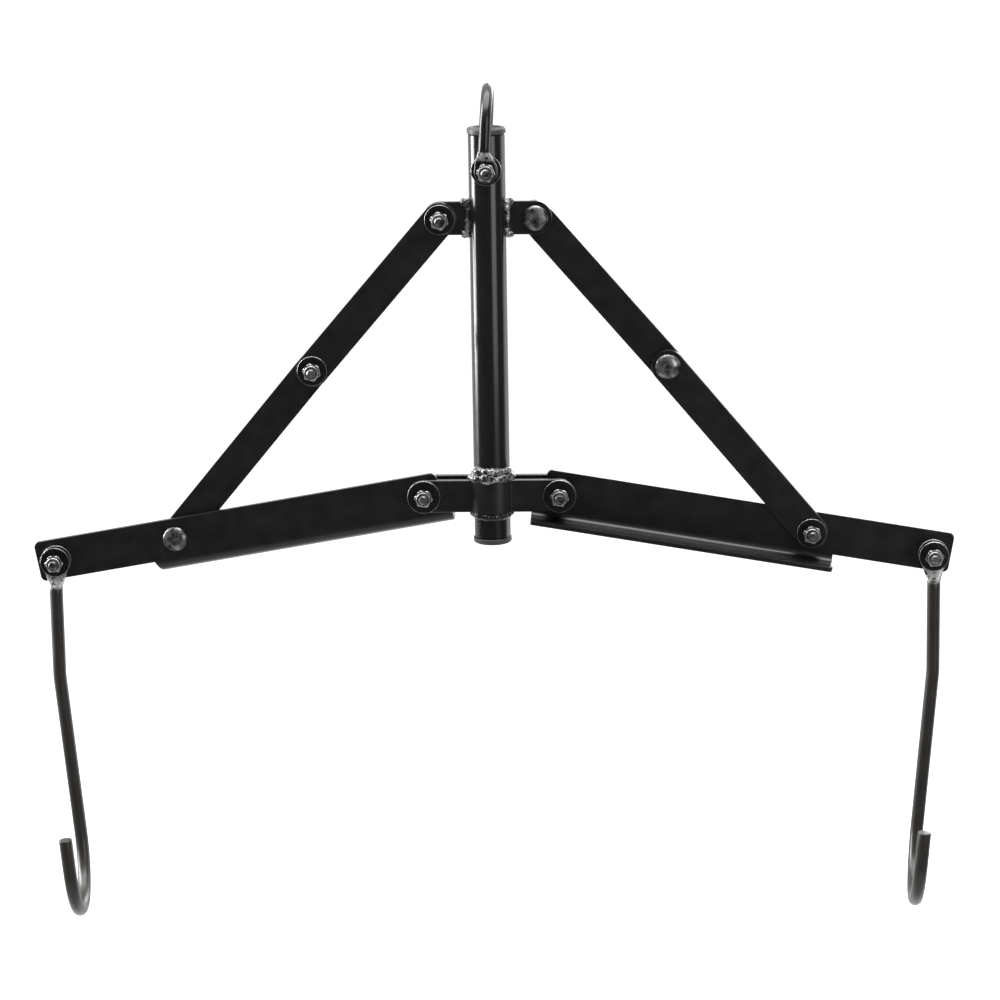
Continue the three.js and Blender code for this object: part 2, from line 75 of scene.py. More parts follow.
# Arm blank. Stations run along the arm from its hub pivot, and the lip is folded from its lower edge.
ARM_DROP = math.radians(9.7)
ARM_WIDTH = 25.0
ARM_CORNER = 3.5
ARM_INNER_END = -9.4
ARM_END_MARGIN = 12.0
LIP_START = -15.0
LIP_OVERRUN = 15.5
LIP_DEPTH = 18.0
LIP_BEND = 4.2
LIP_SLANT = {"right": 0.0, "left": 4.6}
LIP_CORNER = {"right": 3.0, "left": 0.6}
LIP_INNER_CORNER = 1.5
LIP_RELIEF = 1.1

# Lower hooks and top hook.
HOOK = {"rod": 8.0, "eye": 16.0, "thickness": 3.5, "offset": 0.0, "shoulder": (8.5, 18.5)}
HOOK_UPPER_LEG = 70.0
HOOK_LOWER_LEG = {"right": 95.0, "left": 100.0}
HOOK_BEND = math.radians(5.0)
HOOK_BEND_RADIUS = 60.0
HOOK_RADIUS = 35.0
HOOK_TIP = {"right": 18.5, "left": 21.0}
HOOK_TWIST = math.radians(3.5)
HOOK_LEAN = math.radians(0.5)
TOP_HOOK = {"rod": 7.0, "eye": 14.2, "thickness": 4.5, "offset": -1.7, "shoulder": (6.0, 14.0)}
TOP_LEG = 24.0
TOP_RADIUS = 22.0
TOP_TIP = 12.0
TOP_TILT = math.radians(3.5)
ROD_STEP = 3.0
ROD_FACETS = 36
ROD_TIP_EDGE = 0.7
ROD_TIP_STEPS = 4
EYE_STEPS = 9
EYE_STRAIGHT = 2.0

# Fasteners.
BOLT = 6.0
BOLT_TIP_EDGE = 0.5
SHANK_SLACK = 0.1
THREAD_DEPTH = 0.35
THREAD_PITCH = 1.0
THREAD_LENGTH = 8.0
HEAD = 15.2
HEAD_HEIGHT = 3.4
HEAD_RIM = 0.5
NUT_FLATS = 10.0
NUT_HEIGHT = 4.0
COLLAR = 8.8
COLLAR_HEIGHT = 2.0
COLLAR_ROLL = 0.6
THROAT_DEPTH = 1.4
LOCK_RING_HEIGHT = 1.2
WASHER_THICKNESS = 1.6
RING_EDGE = 0.3
WELD_GRAIN = 0.3

ROUND = 64

# Floor and room. Lengths are in metres.
FLOOR_DROP = 0.75
FLOOR_SIZE = 60.0
FLOOR_GLOW = 0.55
ROOM_GLOW = 0.07

# Camera: lens and sensor in millimetres, then its distance and its turns about the point it looks at.
CAMERA_LENS = 114.98
CAMERA_SENSOR = 36.0
CAMERA_DISTANCE = 1.9406
CAMERA_ELEVATION = math.radians(14.486)
CAMERA_AZIMUTH = math.radians(1.927)
CAMERA_ROLL = math.radians(-0.908)
CAMERA_TARGET = Vector((4.721, 0.0, -4.501)) * MM


# ---------- places from the frame ----------

def extent(node):
    low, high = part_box(node)
    return Vector(low), Vector(high)


def middle(node):
    low, high = extent(node)
    return (low + high) / 2


HUB_PLACE = Vector((middle("centre_tube").x, middle("centre_tube").y, middle("right_hub_washer").z))
HUB = Matrix.Translation(HUB_PLACE) @ Matrix.Scale(MM, 4)
HALF_TURN = Matrix.Rotation(math.pi, 4, "Z")
SIDE_PLACE = {"right": HUB, "left": HUB @ HALF_TURN}
FROM_HUB = HUB.inverted()


def spot(node):
    """A node's middle in millimetres from the hub."""
    return FROM_HUB @ middle(node)


def span(node):
    """A node's lowest and highest corner in millimetres from the hub."""
    low, high = extent(node)
    return FROM_HUB @ low, FROM_HUB @ high


def ends(node):
    """A node's middle in x and z, and its front and back ends in y."""
    low, high = span(node)
    return (low.x + high.x) / 2, (low.z + high.z) / 2, low.y, high.y


def width(node):
    low, high = span(node)
    return high.x - low.x


TUBE_LOW, TUBE_HIGH = span("centre_tube")
TUBE_RADIUS = width("centre_tube") / 2
LUG_PIVOT = spot("right_lug_washer")
ELBOW = spot("right_elbow_washer")
STRUT_PIVOT = spot("right_strut_washer")
HUB_PIVOT = spot("right_hub_washer")
HOOK_PIVOT = spot("right_hook_washer")
TOP_PIVOT = spot("top_nut")
LINK_WIDTH = span("right_lug")[1].z - span("right_lug")[0].z
HOOK_STATION = math.hypot(HOOK_PIVOT.x - HUB_PIVOT.x, HOOK_PIVOT.z - HUB_PIVOT.z)
STRUT_STATION = math.hypot(STRUT_PIVOT.x - HUB_PIVOT.x, STRUT_PIVOT.z - HUB_PIVOT.z)
STRAP_MIDDLE = 2 * LAYER
HOLE = BOLT / 2 + PLAY


# ---------- materials ----------

class Value:
    """An output socket. Sums on it add Math nodes to its tree."""

    def __init__(self, bench, socket):
        self.bench = bench
        self.socket = socket

    def maths(self, operation, first, second):
        return self.bench.node("ShaderNodeMath", {0: first, 1: second}, operation=operation)

    def __add__(self, other):
        return self.maths("ADD", self, other)

    def __sub__(self, other):
        return self.maths("SUBTRACT", self, other)

    def __rsub__(self, other):
        return self.maths("SUBTRACT", other, self)

    def __mul__(self, other):
        return self.maths("MULTIPLY", self, other)

    def __rtruediv__(self, other):
        return self.maths("DIVIDE", other, self)

    __radd__ = __add__
    __rmul__ = __mul__


class Bench:
    """A node tree being put together."""

    def __init__(self, tree):
        self.tree = tree

    def node(self, kind, sockets=None, out=0, **settings):
        """Adds a node and returns one of its outputs, if it has any."""
        made = self.tree.nodes.new(kind)
        for name, value in settings.items():
            setattr(made, name, value)
        for name, value in (sockets or {}).items():
            if isinstance(value, Value):
                self.tree.links.new(value.socket, made.inputs[name])
            else:
                made.inputs[name].default_value = value
        return Value(self, made.outputs[out]) if made.outputs else None


class Finish(Bench):
    """A material read off Object coordinates in metres."""

    def __init__(self, name):
        self.material = bpy.data.materials.new(name)
        self.material.use_nodes = True
        super().__init__(self.material.node_tree)
        self.tree.nodes.clear()
        self.place = self.node("ShaderNodeTexCoord", out="Object")

    def noise(self, size, detail, lengthways=1.0):
        """Soft noise from 0 to 1 whose lumps are about `size` millimetres. A `lengthways` below 1 draws
        them out along Z."""
        place = self.place
        if lengthways != 1.0:
            place = self.node("ShaderNodeMapping", {"Vector": place, "Scale": (1, 1, lengthways)})
        return self.node("ShaderNodeTexNoise", {"Vector": place, "Scale": 1 / (size * MM), "Detail": detail})

    def ramp(self, value, low, high, least=0.0):
        """Climbs from `least` to 1 while the value goes from `low` to `high`."""
        made = self.node("ShaderNodeValToRGB", {"Fac": value})
        elements = made.socket.node.color_ramp.elements
        for element, position, grey in zip(elements, (low, high), (least, 1.0)):
            element.position = position
            element.color = (grey, grey, grey, 1)
        return made

    def blend(self, factor, first, second):
        """A mix of two colours, each an output or a red, green and blue."""
        first, second = ((*c, 1) if isinstance(c, tuple) else c for c in (first, second))
        return self.node("ShaderNodeMix", {0: factor, 6: first, 7: second}, 2, data_type="RGBA")

    def bump(self, height, depth, strength, under=None):
        """Relief `depth` millimetres deep, laid over the relief in `under`."""
        sockets = {"Height": height, "Distance": depth * MM, "Strength": strength}
        if under:
            sockets["Normal"] = under
        return self.node("ShaderNodeBump", sockets)

    def marked(self, name):
        """A number from 0 to 1 that the mesh carries at its points."""
        return self.node("ShaderNodeAttribute", {}, 2, attribute_name=name)

    def close(self, **sockets):
        names = {name.replace("_", " "): value for name, value in sockets.items()}
        shader = self.node("ShaderNodeBsdfPrincipled", {"IOR": 1.5, **names})
        self.node("ShaderNodeOutputMaterial", {"Surface": shader})
        return self.material


def bar_paint():
    """Satin black powder coat on flat bar, with orange peel, a soft mottle and a few specks of dust."""
    f = Finish("bar_powder_coat")
    dark, light, pores = (0.0038, 0.0038, 0.0041), (0.0095, 0.0094, 0.0091), (0.0035, 0.0035, 0.0035)
    dust = (0.09, 0.09, 0.085)
    mottle = f.noise(9.0, 4.0)
    grain = f.noise(0.5, 2.0)
    specks = f.ramp(f.noise(0.9, 1.0), 0.74, 0.80)
    shade = f.blend(f.ramp(mottle, 0.3, 0.7), dark, light)
    shade = f.blend(f.ramp(grain, 0.35, 0.65) * 0.5, shade, pores)
    colour = f.blend(specks * 0.45, shade, dust)
    peel = f.bump(f.noise(1.6, 1.5), 0.05, 0.35)
    normal = f.bump(grain, 0.012, 0.5, peel)
    return f.close(Base_Color=colour, Roughness=0.27 + mottle * 0.1 + specks * 0.2, Normal=normal,
                   Specular_IOR_Level=0.45, Coat_Weight=0.3, Coat_Roughness=0.12)


def tube_paint():
    """The same black on the round tube, where it has flowed out to a gloss."""
    f = Finish("tube_gloss_coat")
    dark, light, dust = (0.0040, 0.0040, 0.0046), (0.0080, 0.0078, 0.0088), (0.09, 0.09, 0.09)
    cloud = f.noise(14.0, 3.0)
    streak = f.noise(2.4, 3.0, lengthways=0.12)
    specks = f.ramp(f.noise(1.2, 1.0), 0.80, 0.84)
    colour = f.blend(specks * 0.4, f.blend(cloud, dark, light), dust)
    normal = f.bump(f.noise(2.2, 1.5), 0.05, 0.22, f.bump(streak, 0.03, 0.15))
    return f.close(Base_Color=colour, Roughness=0.15 + streak * 0.09 + specks * 0.2, Normal=normal,
                   Coat_Weight=0.25, Coat_Roughness=0.1)


def rod_paint(name, dark, light, rough, coat):
    """Thin gloss black on hot-formed rod: a brown cast, fine lengthways drawing marks and small chips.
    On the front of the neck, where the eye swells into the rod, a mottled bright metal patch is a painted
    reflection."""
    f = Finish(name)
    brown = (1.0, 0.9, 0.8)
    dark, light = (tuple(level * part for part in brown) for level in (dark, light))
    chipped, metal = (0.12, 0.115, 0.11), (0.55, 0.55, 0.54)
    cloud = f.noise(11.0, 4.0)
    drawn = f.noise(0.8, 3.0, lengthways=0.06)
    chips = f.ramp(f.noise(1.7, 2.0), 0.72, 0.76)
    hammered = f.noise(2.2, 3.0)
    # Painted reflection: where the mesh marks the neck's front, the coat turns mottled bright metal.
    reflection_patch = f.marked("neck_reflection") * f.ramp(hammered, 0.36, 0.50)
    colour = f.blend(reflection_patch, f.blend(chips * 0.35, f.blend(cloud, dark, light), chipped), metal)
    normal = f.bump(f.noise(1.3, 2.0), 0.06, 0.3, f.bump(drawn, 0.03, 0.3, f.bump(hammered, 0.10, 0.35)))
    return f.close(Base_Color=colour, Roughness=rough + cloud * 0.14, Metallic=chips * 0.4 + reflection_patch * 0.8,
                   Normal=normal, Coat_Weight=coat, Coat_Roughness=0.15)


def black_zinc(name, light, mottle_size, rough, edge_light):
    """Black zinc plating: dark metal, blotched where the passivate pooled, with light grey painted highlights
    on the edges that the mesh marks.
    """
    f = Finish(name)
    blotch = f.noise(mottle_size, 5.0)
    fine = f.noise(0.6, 3.0)
    rubbed = f.ramp(blotch * 0.7 + fine * 0.3, 0.42, 0.66)
    # Painted highlight: the marked rims blend to a patchy light grey, standing in for light caught on the
    # edges.
    painted_rim_highlight = f.marked("painted_rim_highlight") * f.ramp(f.noise(2.0, 2.0), 0.30, 0.55, least=0.35)
    colour = f.blend(rubbed, (0.022, 0.021, 0.021), (light, light, light * 1.02))
    colour = f.blend(painted_rim_highlight, colour, (edge_light, edge_light, edge_light))
    normal = f.bump(fine, 0.03, 0.4, f.bump(blotch, 0.12, 0.35))
    return f.close(Base_Color=colour, Metallic=0.85, Roughness=rough + (1 - rubbed) * 0.14, Normal=normal)


def cap_plastic():
    """Moulded black plastic with a fine spark-eroded grain."""
    f = Finish("moulded_cap_plastic")
    grain = f.noise(0.35, 3.0)
    colour = f.blend(f.noise(6.0, 2.0), (0.022, 0.022, 0.024), (0.034, 0.034, 0.037))
    return f.close(Base_Color=colour, Roughness=0.42 + grain * 0.12, Normal=f.bump(grain, 0.04, 0.5))


def nylon():
    """The dark nylon ring inside a lock nut."""
    f = Finish("lock_ring_nylon")
    cloud = f.noise(0.9, 3.0)
    colour = f.blend(cloud, (0.03, 0.03, 0.032), (0.07, 0.07, 0.075))
    return f.close(Base_Color=colour, Roughness=0.5 + cloud * 0.15, Normal=f.bump(cloud, 0.05, 0.4))


def weld_paint():
    """Gloss black over a weld bead, with bright metallic patches from noise painted on as highlights."""
    f = Finish("weld_bead_coat")
    lump = f.noise(5.0, 3.0)
    fine = f.noise(1.2, 2.0)
    # Painted highlight: noise patches turn bright grey metal, standing in for glints on the bead.
    painted_glints = f.ramp(lump, 0.50, 0.64)
    colour = f.blend(painted_glints, (0.010, 0.010, 0.011), (0.30, 0.295, 0.30))
    normal = f.bump(fine, 0.06, 0.35, f.bump(lump, 0.5, 0.5))
    return f.close(Base_Color=colour, Metallic=painted_glints * 0.8, Roughness=0.14 + fine * 0.12, Normal=normal,
                   Coat_Weight=0.6, Coat_Roughness=0.08)


def floor_paper():
    """White paper that glows a little, so that it meets the white room without a line."""
    f = Finish("floor_paper")
    tooth = f.noise(900.0, 2.0)
    colour = f.blend(tooth, (0.80, 0.80, 0.80), (0.83, 0.83, 0.825))
    return f.close(Base_Color=colour, Roughness=0.9 - tooth * 0.05, Emission_Color=(1, 1, 1, 1),
                   Emission_Strength=FLOOR_GLOW)


BAR_PAINT = bar_paint()
TUBE_PAINT = tube_paint()
# One rod coat in two copies: the top hook's is darker and glossier, a painted shade against the overhead
# light it catches.
ROD_PAINT = rod_paint("hook_rod_coat", dark=0.0105, light=0.020, rough=0.26, coat=0.1)
TOP_ROD_PAINT = rod_paint("top_hook_rod_coat", dark=0.004, light=0.007, rough=0.18, coat=0.0)
BOLT_ZINC = black_zinc("bolt_black_zinc", light=0.34, mottle_size=4.5, rough=0.24, edge_light=0.5)
NUT_ZINC = black_zinc("nut_black_zinc", light=0.065, mottle_size=2.2, rough=0.20, edge_light=0.40)
WASHER_ZINC = black_zinc("washer_black_zinc", light=0.034, mottle_size=5.0, rough=0.24, edge_light=0.34)
CAP_PLASTIC = cap_plastic()
NYLON = nylon()
WELD_PAINT = weld_paint()


# ---------- mesh work, in millimetres ----------

def linked(name, data):
    made = bpy.data.objects.new(name, data)
    bpy.context.scene.collection.objects.link(made)
    return made


def mesh_from(points, faces):
    mesh = bpy.data.meshes.new("work")
    mesh.from_pydata([tuple(p) for p in points], [], faces)
    mend(mesh)
    return mesh


def mend(mesh, weld=1e-5):
    """Merges doubled points and turns every face outwards."""
    work = bmesh.new()
    work.from_mesh(mesh)
    bmesh.ops.remove_doubles(work, verts=work.verts, dist=weld)
    bmesh.ops.recalc_face_normals(work, faces=work.faces)
    work.to_mesh(mesh)
    work.free()


def bands(rings, count, closed=False):
    """Faces between neighbouring rings of `count` points each."""
    faces = []
    for ring in range(rings if closed else rings - 1):
        lower, upper = ring * count, (ring + 1) % rings * count
        for k in range(count):
            following = (k + 1) % count
            faces.append((lower + k, lower + following, upper + following, upper + k))
    return faces


def loft(rings):
    """A closed skin over rings of equal count, with a flat cap on each end."""
    count = len(rings[0])
    points = [point for ring in rings for point in ring]
    caps = [tuple(range(count))[::-1], tuple(range(len(points) - count, len(points)))]
    return mesh_from(points, caps + bands(len(rings), count))


def turned(profile, facets=ROUND):
    """A piece turned about Z from (radius, height) pairs, either from axis to axis or a closed loop."""
    points, rows = [], []
    for radius, height in profile:
        if radius < 1e-6:
            rows.append([len(points)] * facets)
            points.append((0, 0, height))
            continue
        rows.append(list(range(len(points), len(points) + facets)))
        for k in range(facets):
            turn = 2 * math.pi * k / facets
            points.append((radius * math.cos(turn), radius * math.sin(turn), height))
    pairs = list(zip(rows, rows[1:]))
    if profile[0][0] > 1e-6:
        pairs.append((rows[-1], rows[0]))
    faces = []
    for lower, upper in pairs:
        for k in range(facets):
            following = (k + 1) % facets
            face = list(dict.fromkeys([lower[k], lower[following], upper[following], upper[k]]))
            if len(face) > 2:
                faces.append(face)
    return mesh_from(points, faces)


def arc(x, z, radius, start, stop, steps=12):
    """Points on an arc, with angles in degrees."""
    turns = [math.radians(start + (stop - start) * k / steps) for k in range(steps + 1)]
    return [(x + radius * math.cos(t), z + radius * math.sin(t)) for t in turns]


def circle(x, z, radius, steps=32):
    return arc(x, z, radius, 0, 360, steps)[:-1]


def marked(mesh, name, amount):
    """Gives a mesh a named number at its points, from a rule on their places."""
    attribute = mesh.attributes.new(name, "FLOAT", "POINT")
    attribute.data.foreach_set("value", [amount(vertex.co) for vertex in mesh.vertices])
    return mesh


def plate(loops):
    """A flat bar in the XZ plane, centred on Y, with rounded edges. The first loop is its rim."""
    curve = bpy.data.curves.new("blank", "CURVE")
    curve.dimensions = "2D"
    curve.fill_mode = "BOTH"
    curve.extrude = BAR / 2 - BAR_EDGE
    curve.bevel_depth = BAR_EDGE
    curve.bevel_resolution = 1
    curve.offset = -BAR_EDGE
    for loop in loops:
        spline = curve.splines.new("POLY")
        spline.points.add(len(loop) - 1)
        for point, (x, z) in zip(spline.points, loop):
            point.co = (x, z, 0, 1)
        spline.use_cyclic_u = True
    mesh = baked(linked("blank", curve))
    bpy.data.curves.remove(curve)
    mesh.transform(Matrix.Rotation(math.pi / 2, 4, "X"))
    mend(mesh, 1e-3)
    return mesh


def baked(holder):
    """The plain mesh of an object with its modifiers applied. The object is thrown away."""
    graph = bpy.context.evaluated_depsgraph_get()
    mesh = bpy.data.meshes.new_from_object(holder.evaluated_get(graph), depsgraph=graph)
    bpy.data.objects.remove(holder)
    return mesh


def drilled(mesh, centres, reach=60.0):
    """The mesh with bolt holes along Y through the given (x, z) places."""
    for x, z in centres:
        drill = turned([(0, -reach), (HOLE, -reach), (HOLE, reach), (0, reach)], 32)
        drill.transform(Matrix.Translation((x, 0, z)) @ Matrix.Rotation(math.pi / 2, 4, "X"))
        tool = linked("drill", drill)
        holder = linked("work", mesh)
        cut = holder.modifiers.new("cut", "BOOLEAN")
        cut.operation = "DIFFERENCE"
        cut.solver = "EXACT"
        cut.object = tool
        mesh = baked(holder)
        bpy.data.objects.remove(tool)
    return mesh


def piece(name, mesh, matrix, material, body, replaces, sharp=BAR_SHARP):
    """Puts a finished mesh in its place in the frame and lets it ride on its body. Edges turned by more
    than `sharp` degrees stay crisp."""
    mesh.transform(matrix)
    mesh.name = name
    mesh.materials.clear()
    mesh.materials.append(material)
    mesh.shade_smooth()
    mesh.set_sharp_from_angle(angle=math.radians(sharp))
    made = linked(name, mesh)
    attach(made, body)
    if replaces:
        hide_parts(*replaces)


# ---------- tube, caps, lugs and straps ----------

def tube():
    inner, outer = TUBE_RADIUS - TUBE_WALL, TUBE_RADIUS
    low, high, edge = TUBE_LOW.z, TUBE_HIGH.z, TUBE_EDGE
    wall = turned([
        (inner, low + edge), (inner + edge, low), (outer - edge, low), (outer, low + edge),
        (outer, high - edge), (outer - edge, high), (inner + edge, high), (inner, high - edge),
    ], 96)
    mesh = drilled(wall, [(0, TOP_PIVOT.z)])
    piece("centre_tube_body", mesh, HUB, TUBE_PAINT, "frame", ["centre_tube"])


def cap(name, node, matrix):
    """A plug with a round-edged, slightly dished flange. +Z points out of the tube's end."""
    plug = TUBE_RADIUS - TUBE_WALL - PLAY
    flange = width(node) / 2
    length, lead, foot, edge, rim, dish = 11.0, 0.8, 0.4, 1.2, 3.0, 0.5
    top = PLAY + 3.4
    profile = [
        (0, -length), (plug - lead, -length), (plug, -length + lead), (plug, PLAY), (flange - foot, PLAY),
        (flange, PLAY + foot), *arc(flange - edge, top - edge, edge, 0, 90, 6),
        (flange - rim, top - 0.05), (flange - rim - 0.8, top - dish), (0, top - dish - 0.1),
    ]
    piece(name, turned(profile, 96), matrix, CAP_PLASTIC, "frame", [node], 40)


def lug(side, matrix):
    half = LINK_WIDTH / 2
    start = TUBE_RADIUS + PLAY
    rim = [(start, LUG_PIVOT.z - half), *arc(LUG_PIVOT.x, LUG_PIVOT.z, half, -90, 90, 24),
           (start, LUG_PIVOT.z + half)]
    mesh = plate([rim, circle(LUG_PIVOT.x, LUG_PIVOT.z, HOLE)])
    piece(f"{side}_lug_plate", mesh, matrix, BAR_PAINT, "frame", [f"{side}_lug"])


def strap_line():
    """The strap's middle line seen from above, from the tube's front centre to the right ear's tip,
    as (x, y) pairs: round the tube, out through a small bend and along the flat ear."""
    bow = TUBE_RADIUS + PLAY + BAR / 2
    fillet = STRAP_FILLET
    centre_y = STRAP_MIDDLE + fillet
    centre_x = math.sqrt((bow + fillet) ** 2 - centre_y ** 2)
    leave = math.atan2(centre_x, centre_y)
    line = [(bow * math.sin(leave * k / 14), -bow * math.cos(leave * k / 14)) for k in range(15)]
    for k in range(1, 9):
        turn = leave * (1 - k / 8)
        line.append((centre_x - fillet * math.sin(turn), -centre_y + fillet * math.cos(turn)))
    ear = LINK_WIDTH / 2
    line.append((HUB_PIVOT.x - ear, -STRAP_MIDDLE))
    for k in range(15):
        swing = math.pi / 2 * k / 14
        line.append((HUB_PIVOT.x + ear * math.sin(swing) * 0.9999, -STRAP_MIDDLE))
    return line


def strap(name, node, matrix):
    """The front strap: bar bowed round the tube, its ends rounded over the arm pivots."""
    right = strap_line()
    line = [(-x, y) for x, y in reversed(right[1:])] + right
    rings = []
    half = LINK_WIDTH / 2
    for k, (x, y) in enumerate(line):
        before, after = line[max(k - 1, 0)], line[min(k + 1, len(line) - 1)]
        along = Vector((after[0] - before[0], after[1] - before[1])).normalized()
        outward = Vector((along.y, -along.x))
        past = max(0.0, abs(x) - HUB_PIVOT.x)
        height = math.sqrt(max(half ** 2 - past ** 2, 0.01))
        edge = min(BAR_EDGE, height / 2)
        ring = []
        for across, up in ((1, 1), (1, -1), (-1, -1), (-1, 1)):
            corner = ((BAR / 2 - edge, height), (BAR / 2, height - edge))
            for depth, rise in corner if across * up > 0 else corner[::-1]:
                ring.append((x + outward.x * across * depth, y + outward.y * across * depth, up * rise))
        rings.append(ring)
    mesh = drilled(loft(rings), [(HUB_PIVOT.x, 0), (-HUB_PIVOT.x, 0)])
    piece(name, mesh, matrix, BAR_PAINT, "frame", [node])


# ---------- links and arms ----------

def link(name, body, node, start, stop, layer, matrix):
    """A round-ended link between two pivots of the right side, in a layer counted from the tube's axis."""
    length = math.hypot(stop.x - start.x, stop.z - start.z)
    half = LINK_WIDTH / 2
    rim = arc(length, 0, half, -90, 90, 24) + arc(0, 0, half, 90, 270, 24)
    mesh = plate([rim, circle(0, 0, HOLE), circle(length, 0, HOLE)])
    slope = math.atan2(stop.z - start.z, stop.x - start.x)
    place = Matrix.Translation((start.x, layer * LAYER, start.z)) @ Matrix.Rotation(-slope, 4, "Y")
    piece(name, mesh, matrix @ place, BAR_PAINT, body, [node])


def folded(mesh, line, radius):
    """Folds the part of a plate below z = `line` a quarter turn towards -Y about an inside radius."""
    neutral = radius + BAR / 2
    sweep = neutral * math.pi / 2
    steps = 8
    work = bmesh.new()
    work.from_mesh(mesh)
    for k in range(steps + 1):
        everything = work.verts[:] + work.edges[:] + work.faces[:]
        bmesh.ops.bisect_plane(work, geom=everything, plane_co=(0, 0, line - sweep * k / steps),
                               plane_no=(0, 0, 1), dist=1e-4)
    for vert in work.verts:
        x, y, z = vert.co
        below = line - z
        if below <= 0:
            continue
        turn = min(below / sweep, 1.0) * math.pi / 2
        reach = neutral + y
        beyond = max(below - sweep, 0.0)
        vert.co = (x, -neutral + reach * math.cos(turn) - beyond, line - reach * math.sin(turn))
    bmesh.ops.recalc_face_normals(work, faces=work.faces)
    work.to_mesh(mesh)
    work.free()
    return mesh


def arm(side, matrix):
    """An arm cut as one blank, then folded along its lower edge. The left lip's outer end is cut aslant."""
    slant, corner, inner = LIP_SLANT[side], LIP_CORNER[side], LIP_INNER_CORNER
    half, c = ARM_WIDTH / 2, ARM_CORNER
    end = HOOK_STATION + ARM_END_MARGIN
    lip_end = STRUT_STATION + LIP_OVERRUN
    fold = -half
    bent = fold - (LIP_BEND + BAR / 2) * math.pi / 2
    free = bent - (LIP_DEPTH - LIP_BEND - BAR)
    notch = fold + LIP_RELIEF
    rim = arc(end - c, half - c, c, 90, 0, 8) + arc(end - c, c - half, c, 0, -90, 8)
    rim += [(lip_end, fold), (lip_end - slant, bent)]
    rim += arc(lip_end - slant - corner, free + corner, corner, 0, -90, 8)
    rim += arc(LIP_START + inner, free + inner, inner, -90, -180, 6)
    rim += [(LIP_START, notch + LIP_RELIEF), (ARM_INNER_END - LIP_RELIEF, notch + LIP_RELIEF)]
    rim += [(ARM_INNER_END, notch + 2 * LIP_RELIEF)]
    rim += arc(ARM_INNER_END + c, half - c, c, 180, 90, 8)
    holes = [circle(x, 0, HOLE) for x in (0, STRUT_STATION, HOOK_STATION)]
    mesh = folded(plate([rim[::-1], *holes]), fold, LIP_BEND)
    place = Matrix.Translation((HUB_PIVOT.x, LAYER, 0)) @ Matrix.Rotation(ARM_DROP, 4, "Y")
    piece(f"{side}_arm_bar", mesh, matrix @ place, BAR_PAINT, f"{side}_arm", [f"{side}_arm"])


# ---------- rods ----------

def smooth(value, start, stop):
    t = min(max((value - start) / (stop - start), 0.0), 1.0)
    return t * t * (3 - 2 * t)


def rod_line(start, heading, moves, step=ROD_STEP):
    """Places and headings along straight legs and bends. A bend is (radius, angle, side)."""
    point, heading = Vector(start), Vector(heading)
    stations = [(point.copy(), heading.copy())]
    for move in moves:
        if len(move) == 1:
            count = max(1, round(move[0] / (4 * step)))
            for _ in range(count):
                point = point + heading * move[0] / count
                stations.append((point.copy(), heading.copy()))
            continue
        radius, angle, side = move
        side = Vector(side)
        count = max(3, round(radius * angle / step))
        axis = heading.cross(side).normalized()
        centre = point + side * radius
        spoke = point - centre
        for k in range(1, count + 1):
            turn = Matrix.Rotation(angle * k / count, 3, axis)
            stations.append((centre + turn @ spoke, turn @ heading))
        point, heading = stations[-1][0].copy(), stations[-1][1].copy()
    return stations


def ring_on(centre, across, back, half_width, half_depth, power=2):
    """A superellipse ring: power 2 is round, more is squarer."""
    ring = []
    for k in range(ROD_FACETS):
        turn = 2 * math.pi * k / ROD_FACETS
        c, s = math.cos(turn), math.sin(turn)
        u = half_width * math.copysign(abs(c) ** (2 / power), c)
        v = half_depth * math.copysign(abs(s) ** (2 / power), s)
        ring.append(centre + across * u + back * v)
    return ring


def eye_rings(spec, heading, across, back):
    """Rings up a flattened eye and the shoulder where it swells into the round rod."""
    rod, eye = spec["rod"] / 2, spec["eye"] / 2
    low, high = spec["shoulder"]
    waist = eye * 0.3
    waist_width = math.sqrt(eye ** 2 - waist ** 2)
    stations = [-eye * math.cos(math.pi / 2 * k / EYE_STEPS) for k in range(EYE_STEPS)]
    stations[0] = -eye * 0.999
    stations += [float(k) for k in range(math.ceil(high + EYE_STRAIGHT))]
    rings = []
    for s in stations:
        flare = rod + (waist_width - rod) * (1 - smooth(s, waist, high - 1))
        half_width = math.sqrt(max(eye ** 2 - s ** 2, 0.0)) if s < waist else flare
        thickness = spec["thickness"] + (spec["rod"] - spec["thickness"]) * smooth(s, low, high)
        round_end = math.sqrt(max(1 - (min(s, 0) / eye) ** 4, 0.05))
        shift = spec["offset"] * smooth(s, 1.0, high - 2)
        centre = heading * s + across * shift - back * thickness / 2
        power = 2 + 3.5 * (1 - smooth(s, low - 3, high))
        rings.append(ring_on(centre, across, back, half_width, thickness / 2 * round_end, power))
    return rings


